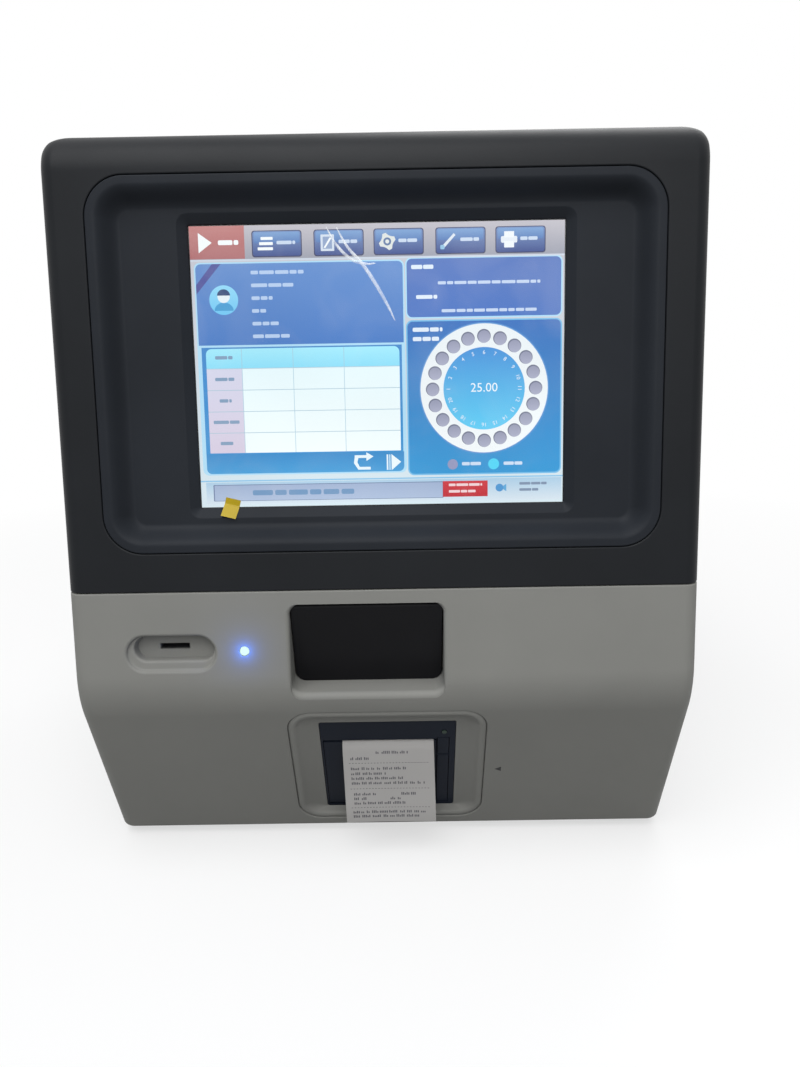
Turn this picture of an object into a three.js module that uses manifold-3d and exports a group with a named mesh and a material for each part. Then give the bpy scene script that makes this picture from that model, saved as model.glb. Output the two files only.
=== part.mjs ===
// Bench-top rapid test reader: leaning touch screen, reagent inlet, card recess and receipt printer.
// Millimetres, +Z up, X right, Y back. Origin on the bench under the middle of the casing.
import * as THREE from 'three';
import { mergeVertices } from 'three/addons/utils/BufferGeometryUtils.js';
import Module from 'manifold-3d';

const wasm = await Module();
wasm.setup();
const { PI, sin, cos, tan, sqrt, max, min } = Math;
const degree = PI / 180;

// Casing
const casingWidth = 366;
const casingDepth = 350;
const casingHeight = 438;
const footHeight = 6;
const screenLean = 8 * degree;
const undercut = 21.3 * degree;
const noseHeight = 123.6;
const noseRadius = 55;
const topRadius = 24;
const sideRadius = 12;
const baseRadius = 5;
const edgeRadius = 9;
const wall = 2.8;
const seamHeight = 187.5;
const shellSplitDepth = 60;

// Clearances shared by the whole assembly
const restGap = 0.3;
const seamGap = 0.35;
const cutOverrun = 6;

// Display and its bezel
const displayWidth = 211.2;
const displayBand = 24.3;
const displaySetback = 15;
const dishMarginSide = 24.5;
const dishMarginTop = 23.06;
const dishMarginSeam = 22.9;
const dishRise = -0.5;
const dishRadius = 22;
const dishRim = 4;
const dishSlope = 12;
const dishFloorDepth = 10;
const windowMargin = 0.6;
const windowBevel = 5;
const windowLip = 1;
const bezelWall = 2.5;
const bezelEdge = 6;
const glassThickness = 2.5;
const glassOverlap = 4;
const lcdThickness = 6.5;
const bracketSheet = 1.5;
const filmThickness = 0.3;
const tabWidth = 8.8;
const tabHeight = 10.6;
const tabInset = 17.6;
const tabTurn = -14 * degree;
const rebateWidth = 3;

// Reagent inlet
const inletX = -10;
const inletWidth = 92;
const inletDrop = 8.1;
const inletRadius = 8;
const ledgeDrop = 62;
const inletDepth = 22;
const flapWidth = 90.8;
const flapThickness = 2.4;
const flapLean = 12 * degree;
const flapSetback = 2;
const flapBarrel = 2.2;
const flapPinRadius = 1.2;
const flapPinReach = 1.6;
const lipFlare = 4;
const sideFlare = 1.2;

// Card recess and status lamp
const cardInset = 58.8;
const cardDrop = 36.2;
const cardWidth = 53.5;
const cardHeight = 22.6;
const cardDepth = 9;
const cardSlotWidth = 17.4;
const cardSlotHeight = 3.4;
const cardSlotRise = 2.3;
const lampFromCard = 42.8;
const lampDrop = 35.3;
const lampRadius = 2.5;

// Printer bay and printer
const bayX = 0.5;
const bayTop = 13;
const bayBottom = 117.7;
const bayWidth = 120.5;
const bayRadius = 15;
const bayRim = 4.8;
const bayDepth = 5.5;
const printerSize = 84;
const printerDrop = 70;
const printerBodyDepth = 50;
const printerPlate = 3;
const faceRadius = 1.4;
const paperWidth = 57;
const paperThickness = 0.3;
const paperHang = 53;
const platenRadius = 4.5;
const rollRadius = 19.5;

// Carousel drive
const carouselMarginFront = 37;
const carouselMarginSide = 45;
const carouselThickness = 8;
const pocketCount = 20;
const pocketLength = 72;
const pocketWidth = 21;
const pocketDepth = 3.5;
const gearModule = 1.5;
const gearTeeth = 80;
const pinionTeeth = 16;
const gearWidth = 8;
const shaftRadius = 6;
const plateThickness = 2;
const motorSide = 42;
const motorHeight = 34;
const motorShaftRadius = 2.5;

// Scan unit
const bridgeRise = 35.5;
const scanRailRadius = 3;
const scanRailSpacing = 44;
const scanSetback = 47;
const scanTravel = 26;
const scanInset = 14;
const scanOverrun = 10;
const carriageLength = 28;
const screwRadius = 3;
const scanMotorSide = 28;
const scanMotorLength = 30;

// Chassis
const traySheet = 1.5;
const trayLip = 10;
const trayFlange = 15;
const footRadius = 11;
const footInsetX = 33;
const footInsetFront = 70;
const footInsetRear = 30;
const rearSheet = 1.5;
const rearMargin = 33;
const fanSize = 60;
const fanDepth = 20;

// Sizes that follow from those above
const halfWidth = casingWidth / 2;
const backY = casingDepth / 2;
const faceLength = (casingHeight - seamHeight) / cos(screenLean);
const dishWidth = casingWidth - 2 * dishMarginSide;
const dishHeight = faceLength - dishMarginTop - dishMarginSeam;
const displayHeight = dishHeight - 2 * displayBand;
const displayAboveSeam = dishMarginSeam + dishHeight / 2 - dishRise;
const ledgeHeight = seamHeight - ledgeDrop;
const cardX = cardInset - halfWidth;
const lampX = cardX + lampFromCard;
const carouselRadius = min(backY - carouselMarginFront, halfWidth - carouselMarginSide);
const bridgeHeight = ledgeHeight + bridgeRise;
const scanRear = backY - scanSetback;
const scanFront = scanRear - scanInset - carriageLength - scanTravel - scanOverrun;

// Materials
const paint = (color, roughness, metalness = 0) => (
  new THREE.MeshStandardMaterial({ color, roughness, metalness })
);
const darkPlastic = paint(0x2e2f31, 0.55);
const dishPlastic = paint(0x2a2c2f, 0.5);
const lightPlastic = paint(0xb9b8b2, 0.5);
const blackPlastic = paint(0x1b1b1d, 0.6);
const printerPlastic = paint(0x1c2230, 0.45);
const glassMaterial = paint(0x5a8ac8, 0.15);
const filmMaterial = paint(0xdfe4e8, 0.2);
const yellowFilm = paint(0xd8bf2a, 0.5);
const steel = paint(0xa9adb0, 0.4, 0.8);
const brightSteel = paint(0xc8cbcd, 0.25, 0.9);
const rubber = paint(0x202020, 0.9);
const boardGreen = paint(0x2c5a3c, 0.6);
const paperWhite = paint(0xe8e6e0, 0.9);
const whitePlastic = paint(0xdcdcd6, 0.5);
const blueLens = paint(0x6f8cff, 0.3);
const greenLens = paint(0x3fbf5f, 0.3);

// Solids from three.js geometry, and back
function solid(geometry) {
  const plain = geometry.index ? geometry.toNonIndexed() : geometry.clone();
  plain.deleteAttribute('normal');
  plain.deleteAttribute('uv');
  const merged = mergeVertices(plain, 1e-4);
  const vertProperties = new Float32Array(merged.attributes.position.array);
  const triVerts = new Uint32Array(merged.index.array);
  return new wasm.Manifold(new wasm.Mesh({ numProp: 3, vertProperties, triVerts }));
}

function geometryOf(body) {
  const mesh = body.getMesh();
  const geometry = new THREE.BufferGeometry();
  geometry.setAttribute('position', new THREE.BufferAttribute(new Float32Array(mesh.vertProperties), 3));
  geometry.setIndex(new THREE.BufferAttribute(new Uint32Array(mesh.triVerts), 1));
  geometry.computeVertexNormals();
  return geometry;
}

const join = (...bodies) => bodies.reduce((a, b) => a.add(b));
const cut = (body, ...tools) => tools.reduce((a, b) => a.subtract(b), body);
const common = (a, b) => a.intersect(b);
const moved = (geometry, x, y, z) => geometry.translate(x, y, z);

// A box given by its two corners
function span(x0, x1, y0, y1, z0, z1) {
  const box = new THREE.BoxGeometry(x1 - x0, y1 - y0, z1 - z0);
  return solid(moved(box, (x0 + x1) / 2, (y0 + y1) / 2, (z0 + z1) / 2));
}

// Round bars along each axis, between two ends
function barX(radius, x0, x1, y, z, sides = 16) {
  const bar = new THREE.CylinderGeometry(radius, radius, x1 - x0, sides).rotateZ(PI / 2);
  return solid(moved(bar, (x0 + x1) / 2, y, z));
}
function barY(radius, x, y0, y1, z, sides = 16) {
  const bar = new THREE.CylinderGeometry(radius, radius, y1 - y0, sides);
  return solid(moved(bar, x, (y0 + y1) / 2, z));
}
function barZ(radius, x, y, z0, z1, sides = 24) {
  const bar = new THREE.CylinderGeometry(radius, radius, z1 - z0, sides).rotateX(PI / 2);
  return solid(moved(bar, x, y, (z0 + z1) / 2));
}

// Turned piece about Z from points of radius and height
function turned(points, sides = 32) {
  const outline = points.map(([r, z]) => new THREE.Vector2(r, z));
  return body(new THREE.LatheGeometry(outline, sides).rotateX(PI / 2));
}

// Outline in Y and Z pushed along X
function sheetX(points, x0, x1) {
  const shape = new THREE.Shape(points.map(([y, z]) => new THREE.Vector2(y, z)));
  const slab = new THREE.ExtrudeGeometry(shape, { depth: x1 - x0, bevelEnabled: false });
  slab.applyMatrix4(new THREE.Matrix4().set(0, 0, 1, x0, 1, 0, 0, 0, 0, 1, 0, 0, 0, 0, 0, 1));
  return solid(slab);
}

// Outline in X and Z pushed along Y
function sheetY(points, y0, y1) {
  const shape = new THREE.Shape(points.map(([x, z]) => new THREE.Vector2(x, -z)));
  const slab = new THREE.ExtrudeGeometry(shape, { depth: y1 - y0, bevelEnabled: false });
  slab.applyMatrix4(new THREE.Matrix4().set(1, 0, 0, 0, 0, 0, 1, y0, 0, -1, 0, 0, 0, 0, 0, 1));
  return solid(slab);
}

// Rounded rectangle in X and Z at depth y, counter-clockwise from the front
function ringXZ({ x = 0, z = 0, hx, hz, r, y }, steps = 4) {
  const points = [];
  const radius = max(min(r, hx, hz), 0.01 * min(hx, hz));
  for (const [sx, sz, start] of [[1, 1, 0], [-1, 1, 1], [-1, -1, 2], [1, -1, 3]]) {
    for (let i = 0; i <= steps; i += 1) {
      const a = (start + i / steps) * PI / 2;
      points.push([x + sx * (hx - radius) + radius * cos(a), y, z + sz * (hz - radius) + radius * sin(a)]);
    }
  }
  return points;
}

// Skin through rings: closed with end caps, or round on itself as a frame
function skin(rings, ringed = false) {
  const n = rings[0].length;
  const positions = rings.flat(2);
  const index = [];
  const last = ringed ? rings.length : rings.length - 1;
  for (let k = 0; k < last; k += 1) {
    const a = k * n;
    const b = ((k + 1) % rings.length) * n;
    for (let i = 0; i < n; i += 1) {
      const j = (i + 1) % n;
      index.push(a + i, a + j, b + j, a + i, b + j, b + i);
    }
  }
  if (!ringed) {
    const end = (rings.length - 1) * n;
    for (let i = 1; i < n - 1; i += 1) index.push(0, i + 1, i, end, end + i, end + i + 1);
  }
  const geometry = new THREE.BufferGeometry();
  geometry.setAttribute('position', new THREE.BufferAttribute(new Float32Array(positions), 3));
  geometry.setIndex(index);
  return geometry;
}

// Outward-facing body whichever way round its rings run
function body(geometry) {
  const made = solid(geometry);
  if (made.volume() > 0) return made;
  const order = geometry.index.array;
  for (let i = 0; i < order.length; i += 3) [order[i], order[i + 1]] = [order[i + 1], order[i]];
  return solid(geometry);
}

const frameOf = (rings, steps) => body(skin(rings.map((ring) => ringXZ(ring, steps)), true));
const plugOf = (rings, steps) => body(skin(rings.map((ring) => ringXZ(ring, steps))));

// Side view of the casing: undercut below the nose, leaning screen face above it
const noseTangent = noseRadius * tan((screenLean + undercut) / 2);
const cornerY = -casingDepth / 2 + noseRadius - noseTangent * sin(screenLean) - noseRadius * cos(screenLean);
const noseY = cornerY + noseTangent * sin(screenLean) + noseRadius * cos(screenLean);
const noseZ = noseHeight + noseTangent * cos(screenLean) - noseRadius * sin(screenLean);
const screenY = (z) => cornerY + (z - noseHeight) * tan(screenLean);
const lowerY = (z) => cornerY + (noseHeight - z) * tan(undercut);
const topY = screenY(casingHeight - topRadius * (1 - sin(screenLean))) + topRadius * cos(screenLean);
const topZ = casingHeight - topRadius;
const toeY = lowerY(footHeight + baseRadius * (1 - sin(undercut))) + baseRadius * cos(undercut);
const toeZ = footHeight + baseRadius;
const arcY = (y, z, radius, at) => y - sqrt(max(radius * radius - (at - z) * (at - z), 0));

function frontY(z, inset) {
  if (z >= topZ + (topRadius - inset) * sin(screenLean)) return arcY(topY, topZ, topRadius - inset, z);
  if (z >= noseZ + (noseRadius - inset) * sin(screenLean)) return screenY(z) + inset / cos(screenLean);
  if (z >= noseZ - (noseRadius - inset) * sin(undercut)) return arcY(noseY, noseZ, noseRadius - inset, z);
  if (z >= toeZ - (baseRadius - inset) * sin(undercut)) return lowerY(z) + inset / cos(undercut);
  return arcY(toeY, toeZ, baseRadius - inset, z);
}

// Heights at which the casing's section is taken
function levels(inset) {
  const heights = [];
  const arc = (z, radius, from, to, steps) => {
    for (let i = 0; i <= steps; i += 1) heights.push(z + radius * sin(from + (to - from) * i / steps));
  };
  arc(toeZ, baseRadius - inset, -PI / 2, -undercut, 3);
  arc(noseZ, noseRadius - inset, -undercut, screenLean, 5);
  arc(topZ, topRadius - inset, screenLean, PI / 2, 7);
  return heights.sort((a, b) => a - b);
}

// How far the sides and back draw in near the top and the base
function drawIn(z, inset) {
  const high = z - (casingHeight - sideRadius);
  const low = footHeight + baseRadius - z;
  const side = sideRadius - inset;
  const base = baseRadius - inset;
  if (high > 0) return side - sqrt(max(side * side - high * high, 0));
  if (low > 0) return base - sqrt(max(base * base - low * low, 0));
  return 0;
}

function casingSection(z, inset, steps) {
  const drawn = drawIn(z, inset);
  const hx = casingWidth / 2 - inset - drawn;
  const front = frontY(z, inset);
  const back = casingDepth / 2 - inset - drawn;
  const radius = edgeRadius - inset - min(drawn, edgeRadius / 3);
  const points = [];
  const corners = [
    [1, back - radius, 0], [-1, back - radius, 1], [-1, front + radius, 2], [1, front + radius, 3],
  ];
  for (const [side, y, start] of corners) {
    for (let i = 0; i <= steps; i += 1) {
      const a = (start + i / steps) * PI / 2;
      points.push([side * (hx - radius) + radius * cos(a), y + radius * sin(a), z]);
    }
  }
  return points;
}

const casingLoft = (inset, steps = 3) => body(skin(levels(inset).map((z) => casingSection(z, inset, steps))));

// Screen frame of reference: origin at the display's middle, Y into the casing along its normal
const displayMiddleZ = seamHeight + displayAboveSeam * cos(screenLean) - displaySetback * sin(screenLean);
const displayMiddleY = screenY(seamHeight) + displayAboveSeam * sin(screenLean)
  + displaySetback * cos(screenLean);
const screenMatrix = new THREE.Matrix4().makeRotationX(-screenLean).setPosition(
  0, displayMiddleY, displayMiddleZ,
);

// Lower front frame of reference: origin on the virtual corner, Z up the undercut face, Y into the casing
const lowerMatrix = new THREE.Matrix4().makeRotationX(undercut).setPosition(0, cornerY, noseHeight);
const onScreen = (made) => made.transform(screenMatrix.elements);
const onLower = (made) => made.transform(lowerMatrix.elements);
const printerMatrix = lowerMatrix.clone().multiply(
  new THREE.Matrix4().makeTranslation(bayX, bayDepth, -printerDrop),
);
const onPrinter = (made) => made.transform(printerMatrix.elements);

// The scene graph
const part = new THREE.Group();
function add(name, made, material) {
  const mesh = new THREE.Mesh(geometryOf(made), material);
  mesh.name = name;
  part.add(mesh);
}

// Whole casing shell and the regions that share it
const outerCasing = casingLoft(0);
const shell = cut(outerCasing, casingLoft(wall));
const farX = casingWidth;
const splitY = screenY(seamHeight) + shellSplitDepth / cos(screenLean);
const above = seamHeight + seamGap / 2;
const below = seamHeight - seamGap / 2;
const highZ = casingHeight + cutOverrun;
const lowZ = -cutOverrun;
const nearY = -casingDepth;

const splitShift = (highZ - seamHeight) * tan(screenLean);
const upperFront = sheetX(
  [[nearY, above], [splitY, above], [splitY + splitShift, highZ], [nearY, highZ]], -farX, farX,
);
const upperBack = sheetX(
  [
    [splitY + seamGap, above], [casingDepth, above], [casingDepth, highZ],
    [splitY + seamGap + splitShift, highZ],
  ],
  -farX, farX,
);
const lowerFront = span(-farX, farX, nearY, splitY, lowZ, below);
const lowerBack = span(-farX, farX, splitY + seamGap, casingDepth, lowZ, below);

// The underside is open to the tray, with a lip that the tray rests on
const trayHalf = halfWidth - baseRadius - restGap;
const floorTop = footHeight + wall;
const toeFront = frontY(floorTop, 0) + wall;
const underFront = toeFront + trayLip;
const underside = span(
  -halfWidth + wall + trayLip, halfWidth - wall - trayLip, underFront, backY - wall - trayLip,
  lowZ, floorTop + restGap / 2,
);

// Dark screen frame with a rebate that carries the bezel
const dishHalfX = dishWidth / 2;
const dishHalfZ = dishHeight / 2;
const dishRing = (grow, y) => (
  { z: dishRise, hx: dishHalfX + grow, hz: dishHalfZ + grow, r: dishRadius + grow, y }
);
const rebateSeat = -displaySetback + bezelEdge + restGap;
const rebate = frameOf([
  dishRing(rebateWidth, -displaySetback + wall / 2),
  dishRing(seamGap, -displaySetback + wall / 2),
  dishRing(seamGap, rebateSeat),
  dishRing(-rebateWidth, rebateSeat),
  dishRing(-rebateWidth, rebateSeat + bezelWall),
  dishRing(rebateWidth, rebateSeat + bezelWall),
]);
const dishOpening = plugOf([
  dishRing(seamGap, -displaySetback - cutOverrun),
  dishRing(seamGap, -displaySetback + cutOverrun),
]);
const screenFrame = join(
  cut(common(shell, upperFront), onScreen(dishOpening)), common(onScreen(rebate), outerCasing),
);
add('screen_frame', screenFrame, darkPlastic);

// Dished bezel: rim band, soft slope, flat floor and a bevel down to the glass
const windowHalfX = displayWidth / 2 + windowMargin;
const windowHalfZ = displayHeight / 2 + windowMargin;
const dishFloor = -displaySetback + dishFloorDepth;
const windowRing = (grow, y) => ({ hx: windowHalfX + grow, hz: windowHalfZ + grow, r: windowLip + grow, y });
const slopeSteps = 5;
const slope = [];
for (let i = 0; i <= slopeSteps; i += 1) {
  const share = i / slopeSteps;
  slope.push(dishRing(
    -dishRim - dishSlope * share, -displaySetback + dishFloorDepth * (1 - cos(PI * share)) / 2,
  ));
}
const lipBack = -restGap;
const bezelBack = dishFloor + bezelWall;
const screenBezel = frameOf([
  dishRing(0, -displaySetback),
  ...slope,
  windowRing(windowBevel, dishFloor),
  windowRing(0, lipBack - windowLip),
  windowRing(0, lipBack),
  windowRing(glassOverlap + restGap, lipBack),
  windowRing(glassOverlap + bezelWall, bezelBack),
  dishRing(-dishRim - dishSlope, bezelBack),
  dishRing(-rebateWidth - restGap, -displaySetback + bezelEdge),
  dishRing(0, -displaySetback + bezelEdge),
]);
add('screen_bezel', onScreen(screenBezel), dishPlastic);

// Glass, display module and their bracket stand behind the bezel
const glassHalfX = windowHalfX + glassOverlap;
const glassHalfZ = windowHalfZ + glassOverlap;
const touchGlass = plugOf([
  { hx: glassHalfX, hz: glassHalfZ, r: windowLip, y: 0 },
  { hx: glassHalfX, hz: glassHalfZ, r: windowLip, y: glassThickness },
], 1);
add('touch_glass', onScreen(touchGlass), glassMaterial);
const lcdFront = glassThickness + restGap;
const lcdBack = lcdFront + lcdThickness;
const connectorWidth = 40;
const connectorHeight = 6;
const connectorDepth = 4;
const lcdModule = join(
  span(-glassHalfX, glassHalfX, lcdFront, lcdBack, -glassHalfZ, glassHalfZ),
  span(-glassHalfX + connectorWidth, -glassHalfX + 2 * connectorWidth, lcdBack - connectorDepth / 2,
    lcdBack + connectorDepth, -glassHalfZ + connectorHeight, -glassHalfZ + 2 * connectorHeight),
);
add('lcd_module', onScreen(lcdModule), steel);

// Sheet bracket whose bent sides reach forward to the bezel's back
const bracketFront = lcdBack + restGap;
const bracketHalfX = glassHalfX + bezelWall + restGap + bracketSheet;
const bracketHalfZ = glassHalfZ;
const bracketWindow = 30;
const standoffRadius = 4;
const standoffLength = 8;
const boardInsetX = 18.2;
const boardInsetZ = 23.8;
const boardHalfX = glassHalfX - boardInsetX;
const boardHalfZ = glassHalfZ - boardInsetZ;
const standoffInset = 8;
const bracketBack = bracketFront + bracketSheet;
let lcdBracket = join(
  span(-bracketHalfX, bracketHalfX, bracketFront, bracketBack, -bracketHalfZ, bracketHalfZ),
  span(
    -bracketHalfX, -bracketHalfX + bracketSheet, bezelBack + restGap, bracketBack, -bracketHalfZ,
    bracketHalfZ,
  ),
  span(
    bracketHalfX - bracketSheet, bracketHalfX, bezelBack + restGap, bracketBack, -bracketHalfZ,
    bracketHalfZ,
  ),
);
for (const side of [-1, 1]) {
  const middle = -glassHalfX + 1.5 * connectorWidth;
  lcdBracket = cut(lcdBracket, span(
    (side > 0 ? bracketWindow : middle) - bracketWindow, (side > 0 ? bracketWindow : middle) + bracketWindow,
    bracketFront - cutOverrun / 2, bracketBack + cutOverrun / 2,
    -bracketHalfZ + bracketWindow / 6, -bracketHalfZ + bracketWindow,
  ));
  for (const rise of [-1, 1]) {
    lcdBracket = join(lcdBracket, barY(
      standoffRadius, side * (boardHalfX - standoffInset), bracketBack - bracketSheet / 2,
      bracketBack + standoffLength, rise * (boardHalfZ - standoffInset), 8,
    ));
  }
}
add('lcd_bracket', onScreen(lcdBracket), steel);

// Main board on the bracket's standoffs
const boardThickness = 1.6;
const boardFront = bracketBack + standoffLength + restGap;
const boardBack = boardFront + boardThickness;
const chipSide = 26;
const chipHeight = 3;
const sinkHeight = 12;
const socketLength = 46;
const socketDepth = 9;
let mainBoard = join(
  span(-boardHalfX, boardHalfX, boardFront, boardBack, -boardHalfZ, boardHalfZ),
  span(chipSide / 2, 1.5 * chipSide, boardBack - boardThickness / 2, boardBack + chipHeight, 0, chipSide),
  span(-boardHalfX + chipHeight, -boardHalfX + chipHeight + socketDepth, boardBack - boardThickness / 2,
    boardBack + socketDepth, -socketLength / 2, socketLength / 2),
);
const finPitch = chipSide / 5;
for (let i = 0; i < 5; i += 1) {
  const x = -chipSide + i * finPitch;
  mainBoard = join(mainBoard, span(x, x + finPitch / 2, boardBack - boardThickness / 2,
    boardBack + sinkHeight, -chipSide, 0));
}
mainBoard = join(mainBoard, span(-chipSide, -chipSide + 4.5 * finPitch, boardBack - boardThickness / 2,
  boardBack + chipHeight / 2, -chipSide, 0));
add('main_board', onScreen(mainBoard), boardGreen);

// Protective film on the glass with its pull tab
const filmGap = restGap / 2;
const filmBack = -restGap;
const screenFilm = plugOf([
  { hx: windowHalfX - filmGap, hz: windowHalfZ - filmGap, r: windowLip, y: filmBack - filmThickness },
  { hx: windowHalfX - filmGap, hz: windowHalfZ - filmGap, r: windowLip, y: filmBack },
], 1);
add('screen_film', onScreen(screenFilm), filmMaterial);
const tabX = tabInset - displayWidth / 2;
const tabZ = -displayHeight / 2 - restGap;
const tabBack = filmBack - filmThickness - restGap;
const tabTop = tabHeight / 2;
const tabBend = -windowHalfZ - tabZ + bezelEdge * restGap;
const tabSlope = (dishFloorDepth - displaySetback - lipBack + windowLip) / windowBevel;
const tabDrop = (tabBend + tabTop) * tabSlope;
const filmTab = sheetX([
  [0, tabTop], [0, tabBend], [tabDrop, -tabTop], [tabDrop - filmThickness, -tabTop],
  [-filmThickness, tabBend], [-filmThickness, tabTop],
], -tabWidth / 2, tabWidth / 2);
const tabMatrix = new THREE.Matrix4().makeRotationY(-tabTurn).setPosition(tabX, tabBack, tabZ);
add('film_tab', onScreen(filmTab.transform(tabMatrix.elements)), yellowFilm);

// Inlet recess in the light front: a rounded mouth whose floor is a level ledge
const seamDrop = (drop) => -displayAboveSeam - drop;
const ledgeLine = (y) => (ledgeHeight - displayMiddleZ + y * sin(screenLean)) / cos(screenLean);
function inletRing(y, side, base, grow = 0, corner = inletRadius) {
  const top = seamDrop(inletDrop) + grow;
  const bottom = ledgeLine(y) - base - grow;
  const hx = inletWidth / 2 + side + grow;
  return { x: inletX, z: (top + bottom) / 2, hx, hz: (top - bottom) / 2, r: corner + grow, y };
}
const inletBack = -displaySetback + inletDepth;
const inletHollow = plugOf([
  inletRing(-displaySetback - cutOverrun, sideFlare, lipFlare),
  inletRing(-displaySetback, sideFlare, lipFlare),
  inletRing(-displaySetback + lipFlare / 2, 0, lipFlare / 4),
  inletRing(-displaySetback + lipFlare, 0, 0),
  inletRing(inletBack + cutOverrun, 0, 0),
]);
const inletPocket = plugOf([
  inletRing(-displaySetback - cutOverrun, 0, 0, wall, windowLip),
  inletRing(inletBack, 0, 0, wall, windowLip),
]);

// Square headroom behind the mouth, in which the flap swings
const swingRoom = span(
  inletX - inletWidth / 2, inletX + inletWidth / 2, -displaySetback + flapSetback, inletBack + cutOverrun,
  seamDrop(inletDrop) - inletRadius - flapBarrel, seamDrop(inletDrop),
);

// Flap hinge line, just behind the screen face under the top of the inlet
const flapHinge = new THREE.Vector3(
  inletX, -displaySetback + flapSetback + flapBarrel, seamDrop(inletDrop) - flapBarrel - restGap,
).applyMatrix4(screenMatrix);
const pinHole = barX(
  flapPinRadius + restGap, inletX - inletWidth / 2 - flapPinReach - restGap,
  inletX + inletWidth / 2 + flapPinReach + restGap, flapHinge.y, flapHinge.z, 12,
);

// Card recess: pill-shaped, steep above the slot and sloping out below it
function cardRing(y, top, bottom, inset, grow = 0) {
  const middle = seamDrop(cardDrop);
  const high = middle + cardHeight / 2 - top + grow;
  const low = middle - cardHeight / 2 + bottom - grow;
  const hz = (high - low) / 2;
  return { x: cardX, z: (high + low) / 2, hx: cardWidth / 2 - inset + grow, hz, r: hz, y };
}
const cardFloor = -displaySetback + cardDepth;
const cardSlope = 7;
const cardLip = 1;
const cardHollow = plugOf([
  cardRing(-displaySetback - cutOverrun, 0, 0, 0, cardLip),
  cardRing(-displaySetback, 0, 0, 0, cardLip),
  cardRing(-displaySetback + cardLip, cardLip, cardLip, cardLip),
  cardRing(cardFloor, 2 * cardLip, cardSlope, 2 * cardLip),
]);
const cardPocket = plugOf([
  cardRing(-displaySetback - cutOverrun, 0, 0, 0, wall),
  cardRing(cardFloor + wall, 0, 0, 0, wall),
]);
const cardSlotZ = seamDrop(cardDrop) + cardSlotRise;
const cardSlot = span(
  cardX - cardSlotWidth / 2, cardX + cardSlotWidth / 2, -displaySetback, cardFloor + cutOverrun,
  cardSlotZ - cardSlotHeight / 2, cardSlotZ + cardSlotHeight / 2,
);
const lampZ = seamDrop(lampDrop);
const lampHole = barY(
  lampRadius + restGap, lampX, -displaySetback - cutOverrun, -displaySetback + cutOverrun, lampZ, 16,
);

// Printer bay: rounded opening with a rebate behind it
const bayHalfX = bayWidth / 2;
const bayHalfZ = (bayBottom - bayTop) / 2;
const bayZ = -(bayTop + bayBottom) / 2;
const bayRing = (grow, y) => (
  { x: bayX, z: bayZ, hx: bayHalfX + grow, hz: bayHalfZ + grow, r: bayRadius + grow, y }
);
const bayRebateSeat = bezelEdge + restGap;
const bayRebate = frameOf([
  bayRing(rebateWidth, wall / 2),
  bayRing(seamGap, wall / 2),
  bayRing(seamGap, bayRebateSeat),
  bayRing(-rebateWidth, bayRebateSeat),
  bayRing(-rebateWidth, bayRebateSeat + bezelWall),
  bayRing(rebateWidth, bayRebateSeat + bezelWall),
]);
const bayOpening = plugOf([bayRing(seamGap, -cutOverrun), bayRing(seamGap, cutOverrun)]);

const pockets = common(join(onScreen(inletPocket), onScreen(cardPocket), onLower(bayRebate)), outerCasing);
const lowerFascia = cut(
  join(cut(common(shell, lowerFront), onLower(bayOpening)), common(pockets, lowerFront)),
  onScreen(inletHollow), onScreen(swingRoom), onScreen(cardHollow), onScreen(cardSlot), onScreen(lampHole),
  pinHole, underside,
);
add('lower_fascia', lowerFascia, lightPlastic);

// Light-shield flap hung at its top edge on two end pins
const flapFoot = ledgeHeight + restGap;
const flapLength = (flapHinge.z - flapFoot) / cos(flapLean) - flapThickness / 2 * tan(flapLean);
const flapHalf = flapWidth / 2;
const flapPlate = plugOf([
  { z: -flapLength / 2, hx: flapHalf, hz: flapLength / 2, r: inletRadius, y: -flapBarrel },
  { z: -flapLength / 2, hx: flapHalf, hz: flapLength / 2, r: inletRadius, y: -flapBarrel + flapThickness },
]);
const flapBarHalf = flapHalf - inletRadius;
const flapPins = barX(flapPinRadius, -inletWidth / 2 - flapPinReach, inletWidth / 2 + flapPinReach, 0, 0, 12);
const flapMade = join(flapPlate, barX(flapBarrel, -flapBarHalf, flapBarHalf, 0, 0, 12), flapPins);
const flapMatrix = new THREE.Matrix4().makeRotationX(flapLean).setPosition(flapHinge);
add('inlet_flap', flapMade.transform(flapMatrix.elements), blackPlastic);

// Card reader: a slotted socket on a small board behind the recess
const readerDepth = 14;
const readerWidth = 27;
const readerHeight = 12;
const readerBoard = 40;
const readerFront = cardFloor + wall + restGap;
const cardReader = cut(
  join(
    span(cardX - readerWidth / 2, cardX + readerWidth / 2, readerFront, readerFront + readerDepth,
      cardSlotZ - readerHeight / 2, cardSlotZ + readerHeight / 2),
    span(cardX - readerBoard / 2, cardX + readerBoard / 2, readerFront, readerFront + readerDepth,
      cardSlotZ - readerHeight / 2 - boardThickness, cardSlotZ - readerHeight / 2 + restGap),
  ),
  span(
    cardX - cardSlotWidth / 2, cardX + cardSlotWidth / 2,
    readerFront - cutOverrun, readerFront + readerDepth - wall,
    cardSlotZ - cardSlotHeight / 2, cardSlotZ + cardSlotHeight / 2,
  ),
);
add('card_reader', onScreen(cardReader), blackPlastic);

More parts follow.
